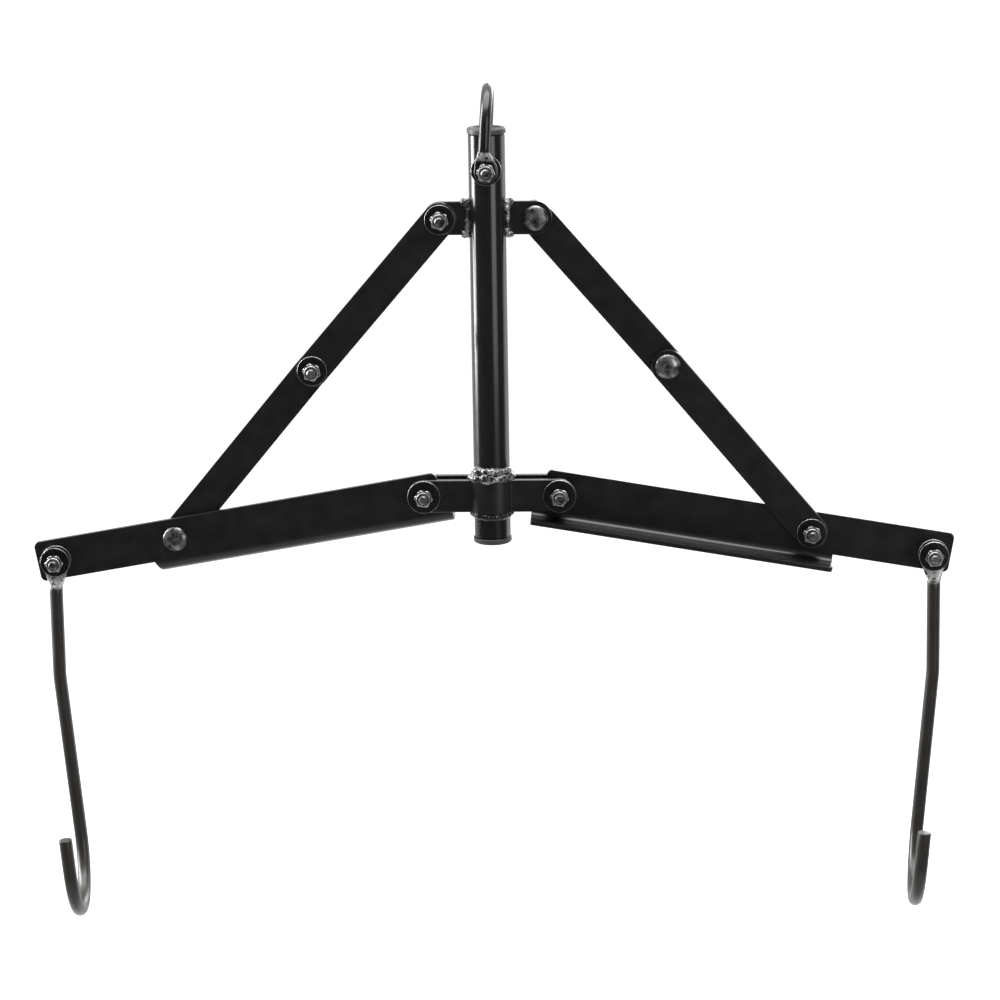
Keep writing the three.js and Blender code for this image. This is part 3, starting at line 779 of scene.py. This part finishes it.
def hook_rod(spec, heading, leg, moves):
    """A rod with a flattened, drilled eye about the origin, its back face on y = 0."""
    rod, reflection_from = spec["rod"] / 2, spec["eye"] / 2 * 0.9
    high = spec["shoulder"][1]
    reflection_to = high - 2.0
    heading, across, back = Vector(heading), Vector((1, 0, 0)), Vector((0, 1, 0))
    hand = math.copysign(1, heading.z)
    rings = eye_rings(spec, heading, across, back)
    eye_length = high + EYE_STRAIGHT
    start = heading * eye_length + across * spec["offset"] - back * rod
    line = rod_line(start, heading, [(leg - eye_length,), *moves])
    line[-1] = (line[-1][0] - line[-1][1] * ROD_TIP_EDGE, line[-1][1])
    facing, previous = across.copy(), heading
    for point, ahead in line:
        facing.rotate(previous.rotation_difference(ahead))
        previous = ahead
        sideways = ahead.cross(facing) * hand
        rings.append(ring_on(point, facing, sideways, rod, rod))
    for k in range(1, ROD_TIP_STEPS + 1):
        swing = math.pi / 2 * k / ROD_TIP_STEPS
        lip = rod - ROD_TIP_EDGE * (1 - math.cos(swing))
        rings.append(ring_on(point + ahead * ROD_TIP_EDGE * math.sin(swing), facing, sideways, lip, lip))
    mesh = drilled(loft(rings), [(0, 0)])

    def neck_reflection(place):
        """Painted reflection mask: 1 on the neck's front, fading to its sides and into the eye and the rod.
        """
        along = place.dot(heading)
        if not 0 < along < 2 * high or place.y > -spec["thickness"] / 2:
            return 0.0
        inside = smooth(along, reflection_from, reflection_from + 1.5) * (1 - smooth(along, reflection_to - 1.5, reflection_to))
        return inside * (1 - 0.5 * smooth(abs(place.x - spec["offset"]), rod * 0.8, rod * 1.6))

    return marked(mesh, "neck_reflection", neck_reflection)


def lower_hook(side):
    outward = SIDES[side]
    inward = (-outward, 0, 0)
    lower_leg = Vector((-outward * math.sin(HOOK_BEND), 0, -math.cos(HOOK_BEND)))
    opening = Matrix.Rotation(outward * HOOK_TWIST, 3, lower_leg) @ Vector((0, -1, 0))
    moves = [
        (HOOK_BEND_RADIUS, HOOK_BEND, inward),
        (HOOK_LOWER_LEG[side],),
        (HOOK_RADIUS, math.pi, opening),
        (HOOK_TIP[side],),
    ]
    mesh = hook_rod(HOOK, (0, 0, -1), HOOK_UPPER_LEG, moves)
    pivot = spot(f"{side}_hook_washer")
    eye_back = span(f"{side}_hook")[1].y
    place = Matrix.Translation((pivot.x, eye_back, pivot.z)) @ Matrix.Rotation(-outward * HOOK_LEAN, 4, "Y")
    piece(f"{side}_hook_rod", mesh, HUB @ place, ROD_PAINT, f"{side}_hook", [f"{side}_hook"])


def top_hook():
    moves = [(TOP_RADIUS, math.pi, (0, 1, 0)), (TOP_TIP,)]
    mesh = hook_rod(TOP_HOOK, (0, 0, 1), TOP_LEG, moves)
    eye_back = span("top_nut")[1].y + PLAY + TOP_HOOK["thickness"]
    place = Matrix.Translation((0, eye_back, TOP_PIVOT.z)) @ Matrix.Rotation(TOP_TILT, 4, "Y")
    piece("top_hook_rod", mesh, HUB @ place, TOP_ROD_PAINT, "top_hook", ["top_hook"])


# ---------- fasteners ----------

def outward_of(node):
    """-1 where a joint's nut end points to the front, 1 where it points to the back."""
    joint = "_".join(node.split("_")[:1 if node.startswith("top") else 2])
    return 1 if spot(f"{joint}_nut").y > spot(f"{joint}_washer").y else -1


def aimed(x, y, z, towards):
    """Puts a turned piece down with its +Z pointing to the back (1) or the front (-1)."""
    return HUB @ (Matrix.Translation((x, y, z)) @ Matrix.Rotation(-towards * math.pi / 2, 4, "X"))


def dome_bolt(name, body, node, nut_node):
    """A dome-headed bolt. Its head is at the end away from the nut."""
    x, z, front, back = ends(node)
    towards_head = -1 if spot(nut_node).y > spot(node).y else 1
    tip = HEAD_HEIGHT - (back - front)
    shank, core, head = BOLT / 2 - SHANK_SLACK, BOLT / 2 - THREAD_DEPTH, HEAD / 2
    dome = [(head * across, HEAD_RIM + (HEAD_HEIGHT - HEAD_RIM) * up)
            for across, up in arc(0, 0, 1, 0, 90, 14)[:-1]]
    thread = min(THREAD_LENGTH, -tip)
    mesh = turned([
        (0, tip + 0.1), (core - 0.85, tip + 0.1), (core - 0.7, tip), (core - BOLT_TIP_EDGE, tip),
        (core, tip + BOLT_TIP_EDGE), (core, tip + thread), (shank, tip + thread + 0.1), (shank, 0),
        (head - 0.3, 0), (head, 0.25), *dome, (0, HEAD_HEIGHT),
    ])
    base = front + HEAD_HEIGHT if towards_head < 0 else back - HEAD_HEIGHT
    piece(name, mesh, aimed(x, base, z, towards_head), BOLT_ZINC, body, [node])


def stud(side):
    """The nut end of an elbow bolt, which rides on the upper link."""
    node = f"{side}_elbow_stud"
    x, z, front, back = ends(node)
    shank, core, length = BOLT / 2 - SHANK_SLACK, BOLT / 2 - THREAD_DEPTH, back - front
    plain = length - THREAD_LENGTH
    mesh = turned([
        (0, 0), (shank, 0), (shank, plain), (core, plain + 0.1), (core, length - BOLT_TIP_EDGE),
        (core - BOLT_TIP_EDGE, length), (0, length),
    ])
    towards = outward_of(node)
    matrix = aimed(x, front if towards > 0 else back, z, towards)
    piece(f"{side}_elbow_threaded_stud", mesh, matrix, BOLT_ZINC, f"{side}_upper_link", [node])


def nut_mesh():
    """A hexagon with both ends chamfered and a rolled-over collar, open down the middle."""
    facets = 72
    flat, collar, bore = NUT_FLATS / 2, COLLAR / 2, BOLT / 2 + 0.05
    corner = flat / math.cos(math.pi / 6)
    top = NUT_HEIGHT + COLLAR_HEIGHT
    turns = [2 * math.pi * k / facets for k in range(facets)]

    def hexagon(limit):
        return [min(flat / math.cos(turn % (math.pi / 3) - math.pi / 6), limit) for turn in turns]

    bored = [(bore, top - THROAT_DEPTH), (bore, 0.4), (bore + 0.4, 0.0)]
    outside = [
        (flat * 0.97, 0.0), (corner, 0.35), (corner, NUT_HEIGHT - 0.75), (corner, NUT_HEIGHT - 0.45),
        (flat, NUT_HEIGHT - 0.1), (flat * 0.95, NUT_HEIGHT),
    ]
    rolled = [
        (collar + 0.25, NUT_HEIGHT), (collar, NUT_HEIGHT + 0.25), (collar, top - 0.9),
        *arc(collar - COLLAR_ROLL, top - COLLAR_ROLL, COLLAR_ROLL, 0, 90, 4), (collar - 0.8, top),
        (collar - 1.0, top - 0.1), (collar - 1.03, top - 0.3), (collar - 1.05, top - THROAT_DEPTH),
    ]
    rows = [([radius] * facets, height) for radius, height in bored]
    rows += [(hexagon(limit), height) for limit, height in outside]
    rows += [([radius] * facets, height) for radius, height in rolled]
    points = [(radius * math.cos(turn), radius * math.sin(turn), height)
              for ring, height in rows for radius, turn in zip(ring, turns)]

    # Marks the chamfer under the collar and the collar's top for a painted highlight.
    def painted_rim_highlight(place):
        radius = math.hypot(place.x, place.y)
        on_chamfer = NUT_HEIGHT - 0.5 < place.z < NUT_HEIGHT - 0.05 and radius > flat * 0.99
        on_collar = place.z > top - 0.5 and radius > collar - 0.95
        return 1.0 if on_chamfer or on_collar else 0.0

    return marked(mesh_from(points, bands(len(rows), facets, closed=True)), "painted_rim_highlight", painted_rim_highlight)


def ring_mesh(inner, outer, thickness, edge=RING_EDGE):
    """A flat ring standing on z = 0, with its corners rounded over and its outer rim marked for a painted
    highlight.
    """
    mesh = turned([
        (inner, edge), (inner + edge, 0), *arc(outer - edge, edge, edge, -90, 0, 3),
        *arc(outer - edge, thickness - edge, edge, 0, 90, 3), (inner + edge, thickness),
        (inner, thickness - edge),
    ])
    return marked(mesh, "painted_rim_highlight", lambda p: 1.0 if math.hypot(p.x, p.y) > outer - edge * 0.9 else 0.0)


# ---------- geometry nodes ----------

class Grower(Bench):
    """A geometry tree that makes a mesh from marked points, in the given material."""

    def __init__(self, name, inputs):
        super().__init__(bpy.data.node_groups.new(name, "GeometryNodeTree"))
        sockets = self.tree.interface
        sockets.new_socket(name="Geometry", in_out="INPUT", socket_type="NodeSocketGeometry")
        self.identifiers = {}
        for label, kind in {**inputs, "Material": "Material"}.items():
            made = sockets.new_socket(name=label, in_out="INPUT", socket_type=f"NodeSocket{kind}")
            self.identifiers[label] = made.identifier
        sockets.new_socket(name="Geometry", in_out="OUTPUT", socket_type="NodeSocketGeometry")
        source = self.tree.nodes.new("NodeGroupInput")
        self.given = {socket.name: Value(self, socket) for socket in source.outputs if socket.name}

    def aim(self):
        """The turn that brings +Z round to a mark's `facing`."""
        facing = self.node("GeometryNodeInputNamedAttribute", {"Name": "facing"}, data_type="FLOAT_VECTOR")
        return self.node("FunctionNodeAlignRotationToVector", {"Vector": facing}, axis="Z")

    def placed(self, points, shape, turn, **sockets):
        """A copy of a shape at every point."""
        return self.node("GeometryNodeInstanceOnPoints",
                         {"Points": points, "Instance": shape, "Rotation": turn, **sockets})

    def close(self, geometry):
        real = self.node("GeometryNodeRealizeInstances", {"Geometry": geometry})
        painted = self.node("GeometryNodeSetMaterial", {"Geometry": real, "Material": self.given["Material"]})
        self.node("NodeGroupOutput", {"Geometry": painted})
        return self

    def grown(self, points, edges, values, facing=()):
        """The mesh that the tree makes from the given points."""
        mesh = bpy.data.meshes.new("marks")
        mesh.from_pydata([tuple(p) for p in points], edges, [])
        if facing:
            attribute = mesh.attributes.new("facing", "FLOAT_VECTOR", "POINT")
            for slot, towards in zip(attribute.data, facing):
                slot.vector = (0, towards, 0)
        holder = linked("marks", mesh)
        modifier = holder.modifiers.new("grow", "NODES")
        modifier.node_group = self.tree
        for label, value in values.items():
            modifier[self.identifiers[label]] = value
        made = baked(holder)
        bpy.data.meshes.remove(mesh)
        return made


def fastener_tree():
    """Puts one fastener on every mark, turned to the mark's `facing` and spun by chance."""
    g = Grower("fasteners_on_marks", {"Fastener": "Object", "Most Spin": "Float", "Seed": "Int"})
    shape = g.node("GeometryNodeObjectInfo", {"Object": g.given["Fastener"], "As Instance": True}, "Geometry",
                   transform_space="ORIGINAL")
    spin = g.node("FunctionNodeRandomValue", {"Max": g.given["Most Spin"], "Seed": g.given["Seed"]}, 1,
                  data_type="FLOAT")
    about = g.node("FunctionNodeAxisAngleToRotation", {"Axis": (0, 0, 1), "Angle": spin})
    turn = g.node("FunctionNodeRotateRotation", {"Rotation": g.aim(), "Rotate By": about},
                  rotation_space="LOCAL")
    return g.close(g.placed(g.given["Geometry"], shape, turn))


def thread_tree():
    """Winds a screw thread inwards from every mark, against the mark's `facing`."""
    g = Grower("thread_on_marks", {"Radius": "Float", "Pitch": "Float", "Length": "Float"})
    radius, pitch, length = g.given["Radius"], g.given["Pitch"], g.given["Length"]
    helix = g.node("GeometryNodeCurveSpiral", {
        "Resolution": 28, "Rotations": length * (1.0 / pitch), "Start Radius": radius,
        "End Radius": radius, "Height": length})
    ridge = g.node("GeometryNodeCurvePrimitiveCircle", {"Resolution": 4, "Radius": pitch * 0.42},
                   mode="RADIUS")
    wound = g.node("GeometryNodeCurveToMesh", {"Curve": helix, "Profile Curve": ridge, "Fill Caps": True})
    drop = g.node("ShaderNodeCombineXYZ", {"Z": length * -1.0})
    seated = g.node("GeometryNodeTransform", {"Geometry": wound, "Translation": drop})
    return g.close(g.placed(g.given["Geometry"], seated, g.aim()))


def weld_tree():
    """Lays a weld bead along a line: overlapping ripples melted into one skin, roughened by noise."""
    g = Grower("weld_bead", {"Bead Radius": "Float", "Ripple Pitch": "Float", "Unevenness": "Float",
                             "Lump Size": "Float", "Grain": "Float", "Seed": "Int"})
    radius, seed = g.given["Bead Radius"], g.given["Seed"]
    line = g.node("GeometryNodeMeshToCurve", {"Mesh": g.given["Geometry"]})
    spaced = g.node("GeometryNodeResampleCurve", {"Curve": line, "Length": g.given["Ripple Pitch"]},
                    mode="LENGTH")
    ball = g.node("GeometryNodeMeshIcoSphere", {"Radius": radius, "Subdivisions": 4})
    along = g.node("FunctionNodeAlignRotationToVector", {"Vector": g.node("GeometryNodeInputTangent")},
                   axis="Z")
    size = g.node("FunctionNodeRandomValue", {"Min": 0.82, "Max": 1.14, "Seed": seed}, 1, data_type="FLOAT")
    flat = g.node("ShaderNodeCombineXYZ", {"X": size, "Y": size, "Z": size * 0.72})
    laid = g.node("GeometryNodeRealizeInstances", {"Geometry": g.placed(spaced, ball, along, Scale=flat)})
    molten = g.node("GeometryNodeMeshToVolume", {
        "Mesh": laid, "Voxel Size": g.given["Grain"], "Interior Band Width": 1.5},
        resolution_mode="VOXEL_SIZE")
    skin = g.node("GeometryNodeVolumeToMesh", {"Volume": molten, "Threshold": 0.1, "Adaptivity": 0.0},
                  resolution_mode="GRID")
    lumps = g.node("ShaderNodeTexNoise", {
        "Vector": g.node("GeometryNodeInputPosition"), "W": seed, "Scale": 1.0 / g.given["Lump Size"],
        "Detail": 2.0}, noise_dimensions="4D")
    push = (lumps - 0.5) * g.given["Unevenness"] * radius
    offset = g.node("ShaderNodeVectorMath", {0: g.node("GeometryNodeInputNormal"), "Scale": push},
                    operation="SCALE")
    return g.close(g.node("GeometryNodeSetPosition", {"Geometry": skin, "Offset": offset}))


FASTENERS = fastener_tree()
THREADS = thread_tree()
WELDS = weld_tree()


def marks(nodes, lift, at_tip=False):
    """Where a fastener or a thread starts at each node, and which way it faces."""
    points, facing = [], []
    for node in nodes:
        x, z, front, back = ends(node)
        towards = outward_of(node)
        start = back if (towards > 0) == at_tip else front
        points.append((x, start + towards * lift, z))
        facing.append(towards)
    return points, facing


def fasteners(label, body, nodes, shape, material, spin, seed, replaces=True, lift=0.0):
    """One piece with the same fastener at each of a body's nodes."""
    points, facing = marks(nodes, lift)
    values = {"Fastener": shape, "Most Spin": spin, "Seed": seed, "Material": material}
    mesh = FASTENERS.grown(points, [], values, facing)
    piece(f"{body}_{label}", mesh, HUB, material, body, nodes if replaces else [])


def threads(body, bolts):
    """The thread on the nut end of each of a body's bolts."""
    points, facing = marks(bolts, -BOLT_TIP_EDGE * 0.9, at_tip=True)
    values = {"Radius": BOLT / 2 - 0.4, "Pitch": THREAD_PITCH, "Length": THREAD_LENGTH - 1.0,
              "Material": BOLT_ZINC}
    mesh = THREADS.grown(points, [], values, facing)
    piece(f"{body}_bolt_threads", mesh, HUB, BOLT_ZINC, body, [], 50)


def weld(name, line, radius, pitch, unevenness, seed, matrix=HUB, closed=False, finish=WELD_PAINT):
    """A bead along a line, `radius` thick, with a ripple every `pitch` millimetres."""
    edges = [(k, k + 1) for k in range(len(line) - 1)]
    if closed:
        edges.append((len(line) - 1, 0))
    values = {"Bead Radius": radius, "Ripple Pitch": pitch, "Unevenness": unevenness,
              "Lump Size": radius * 1.6, "Grain": WELD_GRAIN, "Seed": seed, "Material": finish}
    piece(name, WELDS.grown(line, edges, values), matrix, finish, "frame", [], 60)


# ---------- building the rack ----------

def build_frame():
    tube()
    cap("top_cap_plug", "top_cap", HUB @ Matrix.Translation((0, 0, TUBE_HIGH.z)))
    upside_down = Matrix.Rotation(math.pi, 4, "X")
    cap("bottom_cap_plug", "bottom_cap", HUB @ Matrix.Translation((0, 0, TUBE_LOW.z)) @ upside_down)
    strap("front_strap_bar", "front_strap", HUB)
    strap("rear_strap_bar", "rear_strap", HUB @ HALF_TURN)


def arc_line(radius, height, reach, dip=0.0, steps=40):
    """A line round the tube's front, `reach` degrees to each side, lower by `dip` in the middle."""
    line = []
    for k in range(steps + 1):
        part = 2 * k / steps - 1
        turn = math.radians(reach * part)
        line.append((radius * math.sin(turn), -radius * math.cos(turn), height - dip * (1 - part ** 2)))
    return line


def build_welds():
    half = LINK_WIDTH / 2
    bead = TUBE_RADIUS + 1.4
    weld("front_strap_upper_weld", arc_line(bead, half + 1.4, 68), 3.0, 1.5, 1.1, 3)
    weld("front_strap_upper_weld_pass", arc_line(TUBE_RADIUS + 0.1, half + 5.2, 62), 2.8, 1.6, 1.2, 11)
    weld("front_strap_lower_weld", arc_line(bead - 0.5, -half - 0.4, 68, 1.9), 2.6, 0.8, 0.25, 5,
         finish=TUBE_PAINT)
    weld("rear_strap_upper_weld", arc_line(bead, half + 1.0, 62), 2.5, 1.2, 0.9, 7, HUB @ HALF_TURN)
    weld("rear_strap_lower_weld", arc_line(bead, -half - 0.9, 64), 2.0, 1.4, 0.4, 9, HUB @ HALF_TURN)
    x, y = TUBE_RADIUS + 0.9, BAR / 2 + 0.4
    low, high = LUG_PIVOT.z - half, LUG_PIVOT.z + half
    heights = [low + (high - low) * k / 12 for k in range(13)]
    loop = [(x, -y, z) for z in heights] + [(x, y, z) for z in heights[::-1]]
    for side, hand in SIDES.items():
        matrix = SIDE_PLACE[side]
        weld(f"{side}_lug_weld", loop, 1.7, 0.9, 0.7, 21 + hand, matrix, closed=True)
        for label, end, inwards, seed in (("upper", high, -1, 31), ("lower", low, 1, 41)):
            for face, depth in (("front", -1.4), ("back", 1.4)):
                blob = [(x - 0.8, depth, end + inwards * 3.2), (x - 0.2, depth, end + inwards * 0.6),
                        (x + 2.4, depth * 0.8, end + inwards * 0.4)]
                weld(f"{side}_lug_{label}_{face}_weld_end", blob, 2.5, 1.2, 1.0, seed + hand + len(face),
                     matrix)


def build_side(side):
    matrix = SIDE_PLACE[side]
    lug(side, matrix)
    for which, pivot, layer in (("upper", LUG_PIVOT, 1), ("lower", STRUT_PIVOT, 0)):
        body = f"{side}_{which}_link"
        link(f"{body}_bar", body, body, pivot, ELBOW, layer, matrix)
    arm(side, matrix)
    lower_hook(side)
    for joint, body in (("lug", "frame"), ("hub", "frame"), ("strut", f"{side}_arm"),
                        ("hook", f"{side}_arm"), ("elbow", f"{side}_lower_link")):
        name = f"{side}_{joint}"
        dome_bolt(f"{name}_dome_bolt", body, f"{name}_bolt", f"{name}_nut")
    stud(side)


def build_fasteners():
    nut = linked("lock_nut_shape", nut_mesh())
    lock_ring = linked("lock_ring_shape",
                       ring_mesh(BOLT / 2 + 0.02, COLLAR / 2 - 1.1, LOCK_RING_HEIGHT, 0.2))
    shapes = [nut, lock_ring]
    groups = {
        "frame": ["right_lug", "left_lug", "right_hub", "left_hub", "top"],
        "right_arm": ["right_strut", "right_hook"],
        "left_arm": ["left_strut", "left_hook"],
        "right_upper_link": ["right_elbow"],
        "left_upper_link": ["left_elbow"],
    }
    for seed, (body, joints) in enumerate(groups.items(), start=3):
        nuts = [f"{joint}_nut" for joint in joints]
        fasteners("lock_nuts", body, nuts, nut, NUT_ZINC, math.pi / 3, seed)
        fasteners("lock_rings", body, nuts, lock_ring, NYLON, 0.0, seed, False,
                  NUT_HEIGHT + COLLAR_HEIGHT - 1.35)
        threads(body, [f"{joint}_stud" if joint.endswith("elbow") else f"{joint}_bolt" for joint in joints])
        washers = [f"{joint}_washer" for joint in joints]
        washers += [f"{joint}_back_washer" for joint in joints if joint.endswith("hook")]
        by_size = {}
        for node in washers:
            by_size.setdefault(round(width(node), 1), []).append(node)
        for diameter, nodes in by_size.items():
            mesh = ring_mesh(HOLE, diameter / 2, WASHER_THICKNESS)
            shape = linked(f"washer_shape_{body}_{int(diameter)}", mesh)
            shapes.append(shape)
            fasteners(f"washers_{int(diameter)}mm", body, nodes, shape, WASHER_ZINC, math.pi, seed)
    for shape in shapes:
        bpy.data.objects.remove(shape)
    dome_bolt("top_dome_bolt", "frame", "top_bolt", "top_nut")
    for node, body in (("right_hub_spacer", "frame"), ("left_hub_spacer", "frame"),
                       ("right_hook_spacer", "right_arm")):
        x, z, front, back = ends(node)
        mesh = ring_mesh(HOLE, width(node) / 2, back - front)
        piece(f"{node}_sleeve", mesh, aimed(x, back, z, -1), WASHER_ZINC, body, [node])


# ---------- floor, light and camera ----------

def stage():
    mesh = bpy.data.meshes.new("floor")
    half = FLOOR_SIZE / 2
    corners = [(-half, -half, 0), (half, -half, 0), (half, half, 0), (-half, half, 0)]
    mesh.from_pydata(corners, [], [(0, 1, 2, 3)])
    mesh.transform(Matrix.Translation((0, 0, CAD_BOX[0].z - FLOOR_DROP)))
    mesh.materials.append(floor_paper())
    floor = linked("floor", mesh)
    floor.visible_glossy = False


def softbox(name, azimuth, elevation, distance, across, height, radiance):
    """A soft light aimed at the rack's middle. Azimuth 0 is in front, and 90 is at the rack's right."""
    light = bpy.data.lights.new(name, "AREA")
    light.shape = "RECTANGLE"
    light.size = across
    light.size_y = height
    light.energy = radiance * math.pi * across * height
    lamp = linked(name, light)
    a, e = math.radians(azimuth), math.radians(elevation)
    away = Vector((math.sin(a) * math.cos(e), -math.cos(a) * math.cos(e), math.sin(e)))
    lamp.location = (CAD_BOX[0] + CAD_BOX[1]) / 2 + away * distance
    lamp.rotation_euler = (-away).to_track_quat("-Z", "Y").to_euler()
    lamp.visible_camera = False


def lights():
    # Azimuth and elevation in degrees, then distance, width and height in metres, then radiance.
    softbox("left_softbox", -97, 16, 1.75, 0.75, 1.72, 18)
    softbox("right_softbox", 40, 10, 2.2, 1.1, 1.65, 2.4)
    softbox("rim_softbox", 118, 6, 2.2, 1.2, 2.4, 0.8)
    softbox("rear_softbox", 160, 15, 2.2, 1.4, 1.1, 4)
    softbox("overhead_softbox", 0, 88, 1.5, 2.2, 1.4, 6)


def surroundings():
    """A white room behind, above and below, dim in front. The camera sees plain white past the floor."""
    world = bpy.data.worlds.new("studio")
    world.use_nodes = True
    world.node_tree.nodes.clear()
    bpy.context.scene.world = world
    bench = Bench(world.node_tree)
    direction = bench.node("ShaderNodeTexCoord", out="Generated")
    glow = ROOM_GLOW
    # The room brightens along an axis from one place to another on the unit sphere, by an amount.
    for axis, dim, bright, amount in (("Y", -0.1, 0.6, 0.85), ("Z", 0.3, 0.9, 0.5), ("Z", -0.4, -0.85, 0.55)):
        part = bench.node("ShaderNodeSeparateXYZ", {0: direction}, axis)
        glow = glow + amount * bench.node("ShaderNodeMapRange", {0: part, 1: dim, 2: bright, 3: 0.0, 4: 1.0},
                                          interpolation_type="SMOOTHSTEP")
    seen = bench.node("ShaderNodeLightPath", out="Is Camera Ray")
    strength = glow + seen * (1.0 - glow)
    sky = bench.node("ShaderNodeBackground", {"Color": (1, 1, 1, 1), "Strength": strength})
    bench.node("ShaderNodeOutputWorld", {"Surface": sky})


def camera():
    data = bpy.data.cameras.new("camera")
    data.lens = CAMERA_LENS
    data.sensor_width = CAMERA_SENSOR
    data.clip_start = 0.05
    data.clip_end = 200.0
    eye = linked("camera", data)
    a, e, roll = CAMERA_AZIMUTH, CAMERA_ELEVATION, CAMERA_ROLL
    ahead = Vector((-math.sin(a) * math.cos(e), math.cos(a) * math.cos(e), -math.sin(e)))
    right = ahead.cross(Vector((0, 0, 1))).normalized()
    up = right.cross(ahead)
    across = right * math.cos(roll) + up * math.sin(roll)
    upright = up * math.cos(roll) - right * math.sin(roll)
    turn = Matrix((across, upright, -ahead)).transposed()
    eye.matrix_world = Matrix.Translation(HUB_PLACE + CAMERA_TARGET - ahead * CAMERA_DISTANCE) @ turn.to_4x4()
    bpy.context.scene.camera = eye


camera()
stage()
lights()
surroundings()
build_frame()
for side_name in SIDES:
    build_side(side_name)
top_hook()
build_fasteners()
build_welds()
bpy.context.scene.view_settings.view_transform = "Standard"

bpy.context.view_layer.update()
